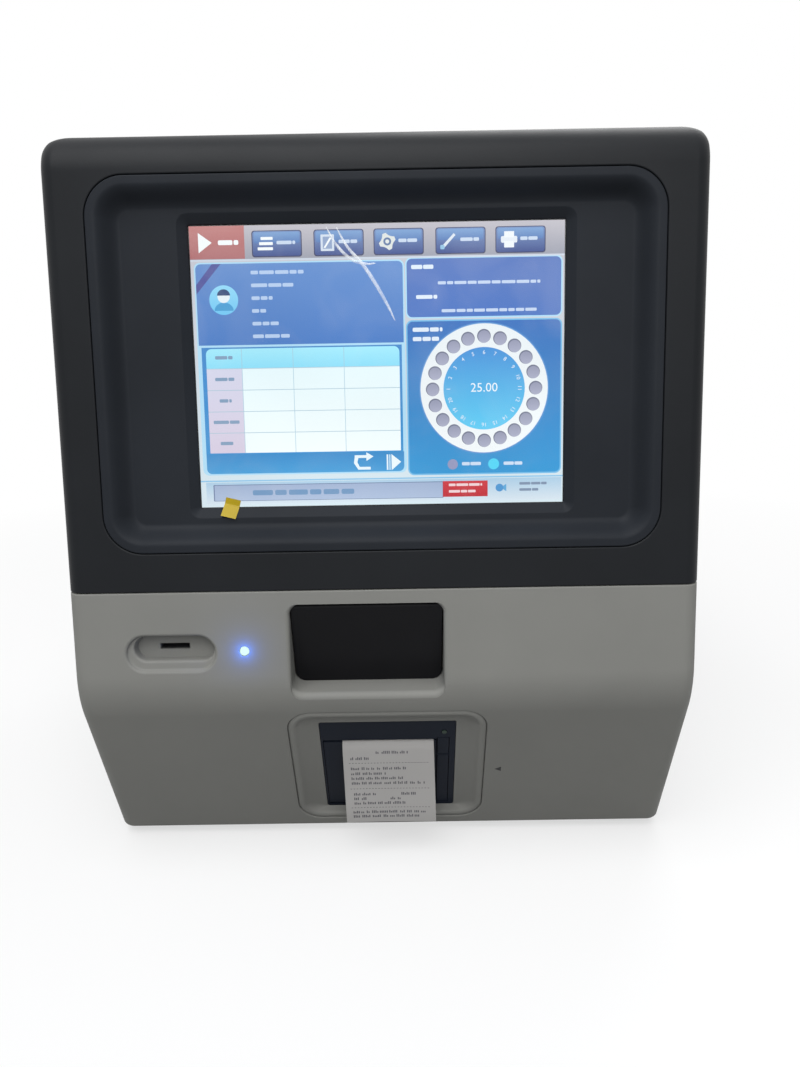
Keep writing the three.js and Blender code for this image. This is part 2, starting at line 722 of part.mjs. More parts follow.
// Status lamp: a domed lens with a collar behind the wall
const lampDome = 0.8;
const domeShares = [0.6, 0.8];
const lampCollar = lampRadius * 1.5;
const lampLens = turned([
  [0, lampDome], [lampRadius * domeShares[0], lampDome * domeShares[1]], [lampRadius, 0],
  [lampRadius, -wall - restGap], [lampCollar, -wall - restGap], [lampCollar, -wall - 2 * lampRadius],
  [0, -wall - 2 * lampRadius],
], 16);
const lampTurn = new THREE.Matrix4().makeRotationX(PI / 2).setPosition(lampX, -displaySetback, lampZ);
add('status_lamp', onScreen(lampLens.transform(lampTurn.elements)), blueLens);

// Printer surround: rim band and concave sides that draw in to the printer's face
const printerHalf = printerSize / 2;
const openingHalf = printerHalf + seamGap;
const openingRing = (grow, y) => (
  { x: bayX, z: -printerDrop, hx: openingHalf + grow, hz: openingHalf + grow, r: faceRadius + grow, y }
);
const blendRing = (a, b, share, y) => {
  const mix = (key) => (a[key] ?? 0) * (1 - share) + (b[key] ?? 0) * share;
  return { x: mix('x'), z: mix('z'), hx: mix('hx'), hz: mix('hz'), r: mix('r'), y };
};
const sideSteps = 4;
const baySides = [];
for (let i = 0; i < sideSteps; i += 1) {
  const share = i / sideSteps;
  baySides.push(blendRing(bayRing(-bayRim, 0), openingRing(0, 0), share, bayDepth * sin(share * PI / 2)));
}
const printerSurround = frameOf([
  bayRing(0, 0),
  ...baySides,
  openingRing(0, bayDepth),
  openingRing(0, bayDepth + printerPlate),
  bayRing(-rebateWidth - restGap, bezelEdge),
  bayRing(0, bezelEdge),
]);
add('printer_surround', onLower(printerSurround), lightPlastic);

// Printer frame of reference: origin in the middle of its face, Y into the body
const doorLeft = -40.8;
const doorRight = 30.4;
const doorTop = 23.6;
const slotTop = 25.4;
const doorHingeZ = -38.2;
const doorSheet = 2.6;
const hingeRadius = 2;
const keyLeft = 30.9;
const keyWidth = 7.2;
const feedBottom = 11;
const feedHeight = 15.5;
const releaseBottom = -39;
const releaseHeight = 48.5;
const keyTravel = 2;
const keyGap = 0.35;
const lampPipe = 1.6;
const lampPipeX = 35.1;
const lampPipeZ = 32;
const bodyHalf = 39;
const platenY = 7.3;
const platenZ = doorTop + paperThickness + restGap - platenRadius;
const rollY = 26;
const rollZ = -11;
const bucketGap = 0.5;
const keyRight = keyLeft + keyWidth;
const feedTop = feedBottom + feedHeight;
const releaseTop = releaseBottom + releaseHeight;
const headGap = 0.6;
const headBottom = platenZ + platenRadius + headGap;
const headHeight = 8;
const headFront = 4.5;
const headBack = 14;
const paperHalf = paperWidth / 2;
const armSheet = 1.3;
const gearHalf = 2;

// Body: face plate, bucket for the roll, head pocket and key wells
const bucketRadius = rollRadius + bucketGap;
const bucketSide = paperHalf + armSheet + 2 * restGap;
const wellDepth = 12;
const gearBay = paperHalf + 3 * armSheet + 2 * gearHalf + 4 * restGap;
const doorWell = printerPlate + wellDepth;
const printerBody = cut(
  join(
    plugOf([
      { hx: printerHalf, hz: printerHalf, r: faceRadius, y: 0 },
      { hx: printerHalf, hz: printerHalf, r: faceRadius, y: printerPlate },
    ], 2),
    span(-bodyHalf, bodyHalf, 0, printerBodyDepth, -bodyHalf, bodyHalf),
  ),
  barX(bucketRadius, -bucketSide, bucketSide, rollY, rollZ, 32),
  span(-bucketSide, bucketSide, -cutOverrun, rollY, rollZ - bucketRadius, headBottom - restGap),
  span(doorLeft, doorRight, -cutOverrun, doorSheet + keyGap, doorHingeZ - hingeRadius - keyGap, slotTop),
  barX(hingeRadius + keyGap, doorLeft, doorRight, hingeRadius, doorHingeZ, 24),
  span(-gearBay, bucketSide, -cutOverrun, doorWell, platenZ - 2 * platenRadius, slotTop),
  span(-paperHalf - restGap, paperHalf + restGap, headFront - restGap, headBack + restGap, platenZ,
    headBottom + headHeight + restGap),
  span(keyLeft - keyGap, keyRight + keyGap, -cutOverrun, wellDepth, feedBottom - keyGap, feedTop + keyGap),
  span(
    keyLeft - keyGap, keyRight + keyGap, -cutOverrun, wellDepth, releaseBottom - keyGap,
    releaseTop + keyGap,
  ),
  barY(lampPipe + restGap, lampPipeX, -cutOverrun, wellDepth, lampPipeZ, 12),
);
add('printer_body', onPrinter(printerBody), printerPlastic);

// Paper door on a round hinge edge, with two arms that carry the platen
const doorEdge = doorRight - keyGap;
const doorStart = doorLeft + keyGap;
const hingeY = hingeRadius;
const armBack = platenY + platenRadius;
const armTop = platenZ + platenRadius / 2;
const armBottom = platenZ - 4 * platenRadius;
const arm = (x) => sheetX([
  [doorSheet / 2, armBottom], [doorSheet, armBottom], [armBack, platenZ - platenRadius], [armBack, armTop],
  [doorSheet / 2, armTop],
], x, x + armSheet);
const armRight = paperHalf + restGap;
const armLeft = -paperHalf - restGap - armSheet;
const platenBore = platenRadius / 2 + restGap;
const printerDoor = cut(
  join(
    span(doorStart, doorEdge, 0, doorSheet, doorHingeZ, doorTop),
    barX(hingeRadius, doorStart, doorEdge, hingeY, doorHingeZ, 16),
    arm(armRight), arm(armLeft),
  ),
  barX(platenBore, armLeft - restGap, armRight + cutOverrun / 2, platenY, platenZ, 16),
);
add('printer_door', onPrinter(printerDoor), printerPlastic);

// Platen roller on its spindle, with the drive gear on the left end
const spindle = platenRadius / 2;
const gearX = armLeft - restGap - 2 * gearHalf;
const platenRoller = join(
  barX(platenRadius, -paperHalf, paperHalf, platenY, platenZ, 24),
  barX(spindle, gearX - restGap, armRight + armSheet, platenY, platenZ, 16),
);
const rootShare = 0.26;
const tipShare = 0.12;
const addendumShare = 0.75;
const gearTooth = (count, radius, depth, bore) => {
  const shape = new THREE.Shape();
  const turn = 2 * PI / count;
  for (let i = 0; i < count; i += 1) {
    const corners = [
      [-rootShare, radius - depth], [-tipShare, radius], [tipShare, radius], [rootShare, radius - depth],
    ];
    for (const [share, r] of corners) {
      const a = (i + share) * turn;
      shape[i === 0 && share === -rootShare ? 'moveTo' : 'lineTo'](r * cos(a), r * sin(a));
    }
  }
  shape.closePath();
  if (bore > 0) shape.holes.push(new THREE.Path().absarc(0, 0, bore, 0, 2 * PI, true));
  return shape;
};
const spurGear = (count, radius, depth, bore, width) => new THREE.ExtrudeGeometry(
  gearTooth(count, radius, depth, bore), { depth: width, bevelEnabled: false, curveSegments: 12 },
);
const platenTeeth = 16;
const platenGearGeometry = spurGear(
  platenTeeth, platenRadius, platenRadius / 5, spindle + restGap / 2, 2 * gearHalf,
);
add('platen_roller', onPrinter(platenRoller), rubber);
add(
  'platen_gear', onPrinter(solid(moved(platenGearGeometry.rotateY(PI / 2), gearX, platenY, platenZ))),
  whitePlastic,
);

// Thermal head above the platen
const thermalHead = join(
  span(-paperHalf, paperHalf, headFront, headBack, headBottom, headBottom + headHeight),
);
add('thermal_head', onPrinter(thermalHead), steel);

// Paper roll on its core
const coreRadius = 6;
const paperRoll = cut(
  barX(rollRadius, -paperHalf, paperHalf, rollY, rollZ, 32),
  barX(coreRadius, -paperHalf - cutOverrun, paperHalf + cutOverrun, rollY, rollZ, 16),
);
add('paper_roll', onPrinter(paperRoll), paperWhite);

// Printed receipt: out over the door's edge, then hanging plumb
const stripStart = platenY - platenRadius;
const stripZ = doorTop + restGap;
const stripFront = -2.2;
const hangY = -sin(undercut);
const hangZ = -cos(undercut);
const stripPath = [[stripStart, stripZ], [0, stripZ], [stripFront / 2, stripZ - restGap]];
const hangSteps = 6;
for (let i = 1; i <= hangSteps; i += 1) {
  const share = i / hangSteps;
  const sway = paperThickness * 3 * sin(share * PI);
  stripPath.push([stripFront + hangY * paperHang * share - sway, stripZ + hangZ * paperHang * share]);
}
const stripSide = stripPath.map(([y, z], i) => {
  const [py, pz] = stripPath[max(i - 1, 0)];
  const [ny, nz] = stripPath[min(i + 1, stripPath.length - 1)];
  const length = Math.hypot(ny - py, nz - pz);
  return [y - (pz - nz) / length * paperThickness, z + (py - ny) / length * paperThickness];
});
const paperStrip = sheetX([...stripPath, ...stripSide.reverse()], -paperHalf, paperHalf);
add('paper_strip', onPrinter(paperStrip), paperWhite);

// Keys with retaining heads, and the light pipe
const keyHeadDepth = 3;
const keyDepth = wellDepth - keyTravel - 2 * restGap - keyHeadDepth;
const key = (z0, z1) => span(keyLeft, keyRight, 0, keyDepth + keyHeadDepth, z0, z1);
add('feed_button', onPrinter(key(feedBottom, feedTop)), printerPlastic);
add('door_release', onPrinter(key(releaseBottom, releaseTop)), printerPlastic);
add(
  'printer_lamp', onPrinter(barY(lampPipe, lampPipeX, -restGap, wellDepth - restGap, lampPipeZ, 12)),
  greenLens,
);

// Side panels: the lower casing behind the front, left and right of the rear panel
const ventPitch = 9;
const ventSlot = 3.2;
const ventLength = 46;
const sideVentSetback = 83;
const sideVentZ = 38;
const sideVents = 9;
const rearOpenX = halfWidth - rearMargin;
const rearOpenBottom = footHeight + wall + trayLip;
const rearOpening = span(
  -rearOpenX, rearOpenX, backY - wall - cutOverrun, backY + cutOverrun, rearOpenBottom, seamHeight,
);
const sideShell = cut(common(shell, lowerBack), underside, rearOpening, span(
  -seamGap / 2, seamGap / 2, nearY, casingDepth, lowZ, highZ,
));
for (const [name, side] of [['left_side_panel', -1], ['right_side_panel', 1]]) {
  const half = span(min(0, side * farX), max(0, side * farX), nearY, casingDepth, lowZ, highZ);
  let panel = common(sideShell, half);
  for (let i = 0; i < sideVents; i += 1) {
    const y = backY - sideVentSetback - i * ventPitch;
    const x = side * halfWidth;
    panel = cut(
      panel,
      span(x - 2 * wall, x + 2 * wall, y - ventSlot / 2, y + ventSlot / 2, sideVentZ, sideVentZ + ventLength),
    );
  }
  add(name, panel, lightPlastic);
}

// Dark upper cover with a row of vents high in its back
const rearVents = 18;
const rearVentDrop = 108;
const rearVentBottom = casingHeight - rearVentDrop;
let upperCover = common(shell, upperBack);
for (let i = 0; i < rearVents; i += 1) {
  const x = (i - (rearVents - 1) / 2) * ventPitch;
  upperCover = cut(upperCover, span(
    x - ventSlot / 2, x + ventSlot / 2, backY - 2 * wall, backY + 2 * wall,
    rearVentBottom, rearVentBottom + ventLength,
  ));
}
add('upper_cover', upperCover, darkPlastic);

// Steel tray on the casing's bottom lip, with turned-up sides
const trayBottom = floorTop + restGap;
const trayTop = trayBottom + traySheet;
const trayFront = toeY + restGap;
const trayBack = backY - wall - 2 * restGap - rearSheet;
const trayBase = join(
  span(-trayHalf, trayHalf, trayFront, trayBack, trayBottom, trayTop),
  span(-trayHalf, -trayHalf + traySheet, splitY, trayBack, trayBottom, trayBottom + trayFlange),
  span(trayHalf - traySheet, trayHalf, splitY, trayBack, trayBottom, trayBottom + trayFlange),
  span(-trayHalf, trayHalf, trayBack - traySheet, trayBack, trayBottom, trayBottom + trayFlange),
);
add('base_tray', common(trayBase, casingLoft(wall + restGap)), steel);

// Rubber feet with a neck up to the tray
const footX = halfWidth - footInsetX;
const footShares = [0.9, 0.1, 0.7];
for (const [name, x, y] of [
  ['foot_front_left', -footX, footInsetFront - backY], ['foot_front_right', footX, footInsetFront - backY],
  ['foot_rear_left', -footX, backY - footInsetRear], ['foot_rear_right', footX, backY - footInsetRear],
]) {
  const [tread, edge, neck] = footShares.map((share) => share * footRadius);
  const foot = turned([
    [0, 0], [tread, 0], [footRadius, edge], [footRadius, footHeight - edge],
    [neck, footHeight], [neck, floorTop], [0, floorTop],
  ], 16);
  add(name, foot.translate([x, y, 0]), rubber);
}

// Rear panel with cut-outs for the fan, mains inlet, switch and the data sockets' window
const rearBack = backY - wall - restGap;
const rearFront = rearBack - rearSheet;
const rearHalf = rearOpenX + trayLip;
const rearBottom = rearOpenBottom - wall;
const rearTop = seamHeight - 2 * wall;
const fanInset = 55;
const fanDrop = 65.5;
const fanX = fanInset - rearOpenX;
const fanZ = seamHeight - fanDrop;
const inletSocketInset = 38;
const inletSocketX = inletSocketInset - rearOpenX;
const inletSocketZ = 52;
const inletSocketWidth = 27;
const inletSocketHeight = 20;
const switchFromInlet = 37;
const switchX = inletSocketX + switchFromInlet;
const switchWidth = 13;
const switchHeight = 19;
const serialInset = 54;
const serialX = rearOpenX - serialInset;
const lanFromSerial = 36;
const lanX = serialX - lanFromSerial;
const usbFromLan = 30;
const usbX = lanX - usbFromLan;
const usbWidth = 13.2;
const usbHeight = 14.5;
const lanWidth = 16;
const lanHeight = 13.5;
const serialWidth = 31;
const serialHeight = 12.5;
const socketZ = 50;
const portMargin = 8;
const portLeft = usbX - usbWidth / 2 - portMargin;
const portRight = serialX + serialWidth / 2 + portMargin;
const portWidth = portRight - portLeft;
const portHeight = max(usbHeight, lanHeight, serialHeight) + 2 * portMargin;
const portX = (portLeft + portRight) / 2;
const portPlateBack = rearFront - restGap;
const portPlateFront = portPlateBack - rearSheet;
const openCut = (x, z, width, height) => span(
  x - width / 2, x + width / 2, portPlateFront - cutOverrun, rearBack + cutOverrun,
  z - height / 2, z + height / 2,
);
const arcSlot = (inner, outer, from, to) => {
  const shape = new THREE.Shape();
  shape.absarc(0, 0, outer, from, to, false);
  shape.absarc(0, 0, inner, to, from, true);
  const slab = new THREE.ExtrudeGeometry(
    shape, { depth: 2 * cutOverrun, bevelEnabled: false, curveSegments: 3 },
  );
  return solid(slab.rotateX(PI / 2).translate(fanX, rearBack + cutOverrun, fanZ));
};
let rearPanel = cut(
  span(-rearHalf, rearHalf, rearFront, rearBack, rearBottom, rearTop),
  openCut(inletSocketX, inletSocketZ, inletSocketWidth, inletSocketHeight),
  openCut(switchX, inletSocketZ, switchWidth, switchHeight),
  openCut(portX, socketZ, portWidth, portHeight),
);
const grillRings = 4;
const grillPitch = 6;
const grillSlot = 3.6;
for (let ring = 1; ring <= grillRings; ring += 1) {
  const radius = ring * grillPitch + grillSlot / 2;
  const webShare = grillSlot / radius / 2;
  for (let i = 0; i < 4; i += 1) {
    const start = (i + 0.5) * PI / 2 + webShare;
    rearPanel = cut(
      rearPanel,
      arcSlot(radius - grillSlot / 2, radius + grillSlot / 2, start, start + PI / 2 - 2 * webShare),
    );
  }
}
add('rear_panel', rearPanel, steel);

// Plate behind the panel's window, cut for the data sockets
const portPlateLap = 5;
const portPlateHalfX = portWidth / 2 + portPlateLap;
const portPlateHalfZ = portHeight / 2 + portPlateLap;
add('socket_plate', cut(
  span(
    portX - portPlateHalfX, portX + portPlateHalfX, portPlateFront, portPlateBack,
    socketZ - portPlateHalfZ, socketZ + portPlateHalfZ,
  ),
  openCut(usbX, socketZ, usbWidth + 2 * restGap, usbHeight + 2 * restGap),
  openCut(lanX, socketZ, lanWidth + 2 * restGap, lanHeight + 2 * restGap),
  openCut(serialX, socketZ, serialWidth + 2 * restGap, serialHeight + 2 * restGap),
), steel);

// Fan behind its grille: frame with a spoked motor mount, and the rotor on it
const fanBack = rearFront - restGap;
const fanFrontY = fanBack - fanDepth;
const fanWall = 1.5;
const fanBore = fanSize / 2 - fanWall;
const fanHub = 11;
const fanSpoke = 3;
const fanMountDepth = 3;
const fanFrame = join(
  cut(
    span(fanX - fanSize / 2, fanX + fanSize / 2, fanFrontY, fanBack, fanZ - fanSize / 2, fanZ + fanSize / 2),
    barY(fanBore, fanX, fanFrontY - cutOverrun, fanBack + cutOverrun, fanZ, 32),
  ),
  barY(fanHub, fanX, fanFrontY, fanFrontY + fanMountDepth, fanZ, 24),
  common(
    join(
      span(
        fanX - fanSize / 2, fanX + fanSize / 2, fanFrontY, fanFrontY + fanMountDepth, fanZ - fanSpoke / 2,
        fanZ + fanSpoke / 2,
      ),
      span(
        fanX - fanSpoke / 2, fanX + fanSpoke / 2, fanFrontY, fanFrontY + fanMountDepth,
        fanZ - fanSize / 2, fanZ + fanSize / 2,
      ),
    ),
    barY(fanBore + fanSpoke / 2, fanX, fanFrontY - restGap, fanFrontY + fanMountDepth, fanZ, 32),
  ),
);
add('fan_frame', fanFrame, blackPlastic);
const bladeCount = 7;
const bladeTipGap = 1;
const bladeTip = fanBore - bladeTipGap;
const bladeSheet = 1.4;
const rotorFront = fanFrontY + fanMountDepth + restGap;
const rotorBack = fanBack - fanWall;
const bladeTurn = 38 * degree;
const bladeWidthShare = 0.85;
const bladeWidth = (rotorBack - rotorFront) * bladeWidthShare;
let fanRotor = barY(fanHub, 0, rotorFront, rotorBack, 0, 24);
for (let i = 0; i < bladeCount; i += 1) {
  const blade = new THREE.BoxGeometry(bladeTip - fanHub / 2, bladeWidth, bladeSheet).rotateX(bladeTurn);
  blade.translate(
    (bladeTip + fanHub / 2) / 2, (rotorFront + rotorBack) / 2, 0,
  ).rotateY(i * 2 * PI / bladeCount);
  fanRotor = join(fanRotor, solid(blade));
}
fanRotor = common(fanRotor, barY(bladeTip, 0, rotorFront, rotorBack, 0, 32));
add('fan_rotor', fanRotor.translate([fanX, 0, fanZ]), blackPlastic);

// Mains inlet, switch with its rocker, and the data sockets
const socketFlange = 1.5;
const inletDepthBack = 24;
const ringPlate = (x, z, width, height) => span(
  x - width / 2, x + width / 2, rearBack + restGap, rearBack + restGap + socketFlange,
  z - height / 2, z + height / 2,
);
const throughBody = (x, z, width, height, depth) => span(
  x - width / 2 + restGap, x + width / 2 - restGap, rearFront - depth, rearBack + restGap + socketFlange / 2,
  z - height / 2 + restGap, z + height / 2 - restGap,
);
const inletFlange = 4;
const coneWidth = 20;
const coneHeight = 13;
const coneDepth = 14;
const bladePitch = 7;
let powerInlet = cut(
  join(
    ringPlate(
      inletSocketX, inletSocketZ, inletSocketWidth + 2 * inletFlange, inletSocketHeight + 2 * inletFlange,
    ),
    throughBody(inletSocketX, inletSocketZ, inletSocketWidth, inletSocketHeight, inletDepthBack),
  ),
  span(
    inletSocketX - coneWidth / 2, inletSocketX + coneWidth / 2, rearBack - coneDepth, rearBack + cutOverrun,
    inletSocketZ - coneHeight / 2, inletSocketZ + coneHeight / 2,
  ),
);
const bladeShares = [[-1, -0.25], [1, -0.25], [0, 0.25]];
for (const [across, up] of bladeShares) {
  const x = inletSocketX + across * bladePitch;
  const z = inletSocketZ + up * coneHeight;
  powerInlet = join(powerInlet, span(
    x - socketFlange / 2, x + socketFlange / 2, rearBack - coneDepth - socketFlange, rearBack - socketFlange,
    z - socketFlange, z + socketFlange,
  ));
}
add('power_inlet', powerInlet, blackPlastic);
const switchFlange = 2;
const switchDepth = 16;
const rockerGap = 0.4;
const rockerFrame = 1;
const rockerWidth = switchWidth - 4 * rockerGap - 2 * rockerFrame;
const rockerHeight = switchHeight - 4 * rockerGap - 2 * rockerFrame;
const rockerPivotY = rearBack - rockerHeight / 4;
const rockerTilt = 9 * degree;
const rockerWell = rockerHeight / 2 + rockerGap + rockerFrame;
const powerSwitch = cut(
  join(
    ringPlate(switchX, inletSocketZ, switchWidth + 2 * switchFlange, switchHeight + 2 * switchFlange),
    throughBody(switchX, inletSocketZ, switchWidth, switchHeight, switchDepth),
  ),
  span(
    switchX - rockerWidth / 2 - rockerGap, switchX + rockerWidth / 2 + rockerGap,
    rockerPivotY - rockerWell, rearBack + cutOverrun,
    inletSocketZ - rockerHeight / 2 - rockerGap, inletSocketZ + rockerHeight / 2 + rockerGap,
  ),
);
add('power_switch', powerSwitch, blackPlastic);
const rockerSide = [];
const rockerSteps = 6;
const [bellyShare, heightShare, crestShare] = [0.7, 0.94, 0.82];
for (let i = 0; i <= rockerSteps; i += 1) {
  const a = -PI / 2 + PI * i / rockerSteps;
  rockerSide.push([-cos(a) * rockerHeight / 2 * bellyShare, sin(a) * rockerHeight / 2 * heightShare]);
}
const crown = rearBack + restGap + socketFlange - rockerPivotY;
const crest = rockerHeight / 2 * crestShare;
rockerSide.push([crown, crest], [crown * bellyShare, 0], [crown, -crest]);
const rocker = sheetX(rockerSide, -rockerWidth / 2, rockerWidth / 2).rotate([rockerTilt / degree, 0, 0]);
add('power_rocker', rocker.translate([switchX, rockerPivotY, inletSocketZ]), blackPlastic);

// Sockets: a metal can with an open mouth and a tongue
function socketCan(x, width, height, depth, lip, tongue) {
  const outer = span(
    x - width / 2, x + width / 2, rearBack - depth, rearBack + lip, socketZ - height / 2,
    socketZ + height / 2,
  );
  const mouth = span(
    x - width / 2 + lip, x + width / 2 - lip, rearBack - depth + lip * 2, rearBack + cutOverrun,
    socketZ - height / 2 + lip, socketZ + height / 2 - lip,
  );
  const blade = span(x - width / 4, x + width / 4, rearBack - depth + lip, rearBack - lip,
    socketZ + tongue - lip / 2, socketZ + tongue + lip / 2);
  return join(cut(outer, mouth), blade);
}
const canLip = 0.8;
add('usb_port', socketCan(usbX, usbWidth, usbHeight, usbHeight, canLip, 0), brightSteel);
add('network_port', socketCan(lanX, lanWidth, lanHeight, lanHeight, canLip, lanHeight / 4), brightSteel);
add('serial_port', socketCan(serialX, serialWidth, serialHeight, serialHeight, 2 * canLip, 0), brightSteel);

// Power supply: vented metal case on the tray
const supplyInset = 56;
const supplySetback = 67;
const supplyX = inletX + carouselRadius - supplyInset;
const supplyY = backY - supplySetback;
const supplyWidth = 106;
const supplyLength = 76;
const supplyHeight = 30;
const supplyBottom = trayTop + restGap;
const supplySheet = 2;
let powerSupply = cut(
  span(
    supplyX - supplyWidth / 2, supplyX + supplyWidth / 2,
    supplyY - supplyLength / 2, supplyY + supplyLength / 2,
    supplyBottom, supplyBottom + supplyHeight,
  ),
  span(supplyX - supplyWidth / 2 + supplySheet, supplyX + supplyWidth / 2 + cutOverrun,
    supplyY - supplyLength / 2 + supplySheet, supplyY + supplyLength / 2 - supplySheet,
    supplyBottom + supplySheet, supplyBottom + supplyHeight - supplySheet),
);
for (let i = 0; i < 6; i += 1) {
  const x = supplyX - supplyWidth / 2 + (i + 1.5) * ventPitch;
  powerSupply = cut(powerSupply, span(
    x - ventSlot / 2, x + ventSlot / 2, supplyY - supplyLength / 3, supplyY + supplyLength / 3,
    supplyBottom + supplyHeight - 2 * supplySheet, supplyBottom + supplyHeight + supplySheet,
  ));
}
add('power_supply', powerSupply, steel);

// Carousel of cassette pockets, level with the inlet ledge
const driveX = inletX;
const pocketFloor = ledgeHeight - restGap;
const carouselTop = pocketFloor + pocketDepth;
const carouselBottom = carouselTop - carouselThickness;
const pocketOuter = carouselRadius + cutOverrun;
const pocketInner = carouselRadius - pocketLength;
const shaftBore = shaftRadius + restGap / 2;
let carousel = barZ(carouselRadius, 0, 0, carouselBottom, carouselTop, 60);
for (let i = 0; i < pocketCount; i += 1) {
  const slot = new THREE.BoxGeometry(pocketWidth, pocketOuter - pocketInner, 2 * pocketDepth);
  slot.translate(0, (pocketOuter + pocketInner) / 2, carouselTop).rotateZ(i * 2 * PI / pocketCount);
  carousel = cut(carousel, solid(slot));
}
carousel = cut(carousel, barZ(shaftBore, 0, 0, carouselBottom - cutOverrun, carouselTop + cutOverrun, 24));
add('carousel', carousel.translate([driveX, 0, 0]), whitePlastic);

// Ring gear under it, driven by the motor pinion
const gearPitch = gearModule * gearTeeth / 2;
const pinionPitch = gearModule * pinionTeeth / 2;
const gearTop = carouselBottom - restGap;
const gearBottom = gearTop - gearWidth;
const toothDepth = 2 * gearModule;
const addendum = gearModule * addendumShare;
const wheel = spurGear(gearTeeth, gearPitch + addendum, toothDepth, shaftBore, gearWidth);
add('carousel_gear', solid(wheel).translate([driveX, 0, gearBottom]), whitePlastic);
const gearCentres = gearPitch + pinionPitch + restGap;
const motorX = driveX + gearCentres;
const pinionTurn = PI + PI / pinionTeeth;
const pinionBore = motorShaftRadius + restGap / 2;
const pinionShape = spurGear(pinionTeeth, pinionPitch + addendum, toothDepth, pinionBore, gearWidth);
add('motor_pinion', solid(pinionShape.rotateZ(pinionTurn)).translate([motorX, 0, gearBottom]), brightSteel);

// Drive bracket: a steel table on the tray that carries the bearing and the motor
const collarHeight = 2.5;
const flangeHeight = 3;
const flangeTop = gearBottom - restGap - collarHeight - restGap;
const tableTop = flangeTop - flangeHeight - restGap;
const tableBottom = tableTop - plateThickness;
const tableLeft = driveX - gearPitch;
const tableRight = motorX + motorSide / 2 + 4 * plateThickness;
const tableHalf = 34;
const tableFoot = 14;
const legBottom = trayTop + restGap;
const bearingRadius = 13;
const bearingFlange = 22;
const motorBoss = 11;
let driveBracket = join(
  span(tableLeft, tableRight, -tableHalf, tableHalf, tableBottom, tableTop),
  span(tableLeft, tableLeft + plateThickness, -tableHalf, tableHalf, legBottom, tableTop),
  span(tableRight - plateThickness, tableRight, -tableHalf, tableHalf, legBottom, tableTop),
  span(tableLeft, tableLeft + tableFoot, -tableHalf, tableHalf, legBottom, legBottom + plateThickness),
  span(tableRight - tableFoot, tableRight, -tableHalf, tableHalf, legBottom, legBottom + plateThickness),
);
driveBracket = cut(
  driveBracket,
  barZ(bearingRadius + restGap, driveX, 0, tableBottom - cutOverrun, tableTop + cutOverrun, 32),
  barZ(motorBoss + restGap, motorX, 0, tableBottom - cutOverrun, tableTop + cutOverrun, 32),
);
add('drive_bracket', driveBracket, steel);
const bearingLength = 28;
const bearingBottom = flangeTop - bearingLength;
const bearing = turned([
  [shaftRadius + restGap, bearingBottom], [bearingRadius, bearingBottom],
  [bearingRadius, flangeTop - flangeHeight],
  [bearingFlange, flangeTop - flangeHeight], [bearingFlange, flangeTop], [shaftRadius + restGap, flangeTop],
  [shaftRadius + restGap, bearingBottom],
], 32);
add('bearing_housing', bearing.translate([driveX, 0, 0]), brightSteel);
const collarRadius = shaftRadius * 1.7;
const shaftTop = carouselTop + plateThickness;
const capRadius = shaftRadius * 2;
const shaft = turned([
  [0, bearingBottom - plateThickness], [shaftRadius, bearingBottom - plateThickness],
  [shaftRadius, flangeTop + restGap], [collarRadius, flangeTop + restGap],
  [collarRadius, gearBottom - restGap], [shaftRadius, gearBottom - restGap],
  [shaftRadius, carouselTop + restGap], [capRadius, carouselTop + restGap],
  [capRadius, shaftTop + plateThickness],
  [0, shaftTop + plateThickness],
], 24);
add('carousel_shaft', shaft.translate([driveX, 0, 0]), brightSteel);
const motorTop = tableBottom - restGap;
const carouselMotor = join(
  span(
    motorX - motorSide / 2, motorX + motorSide / 2, -motorSide / 2, motorSide / 2, motorTop - motorHeight,
    motorTop,
  ),
  barZ(motorBoss, motorX, 0, motorTop - restGap, tableTop, 32),
  barZ(motorShaftRadius, motorX, 0, motorTop, gearTop, 16),
);
add('carousel_motor', carouselMotor, blackPlastic);

// Cassette guide: a tongue under the ledge, then a floor and two rails up to the carousel
const guideHalf = 30;
const guideSheet = 3;
const guideTop = ledgeHeight - wall - 2 * restGap;
const guideBottom = guideTop - guideSheet;
const flapFootY = flapHinge.y + flapLength * sin(flapLean);
const guideFront = flapFootY - 4 * guideSheet;
const guideStep = flapFootY + flapThickness + restGap;
const guideEnd = -carouselRadius - restGap;
const railFront = guideStep + guideSheet;
const railWidth = 2.8;
const railLow = 0.8;
const railHigh = 3.6;
const guideFlight = [[railFront, pocketFloor - restGap], [guideEnd, pocketFloor - restGap],
  [guideEnd, pocketFloor + railHigh], [railFront, pocketFloor + railLow]];
const guideSlot = pocketWidth / 2;
const cassetteGuide = join(
  span(-guideHalf, guideHalf, guideFront, guideStep + guideSheet, guideBottom, guideTop),
  span(-guideHalf, guideHalf, guideStep, guideEnd, guideBottom, pocketFloor),
  sheetX(guideFlight, -guideSlot - railWidth, -guideSlot),
  sheetX(guideFlight, guideSlot, guideSlot + railWidth),
);
add('cassette_guide', cassetteGuide.translate([inletX, 0, 0]), blackPlastic);

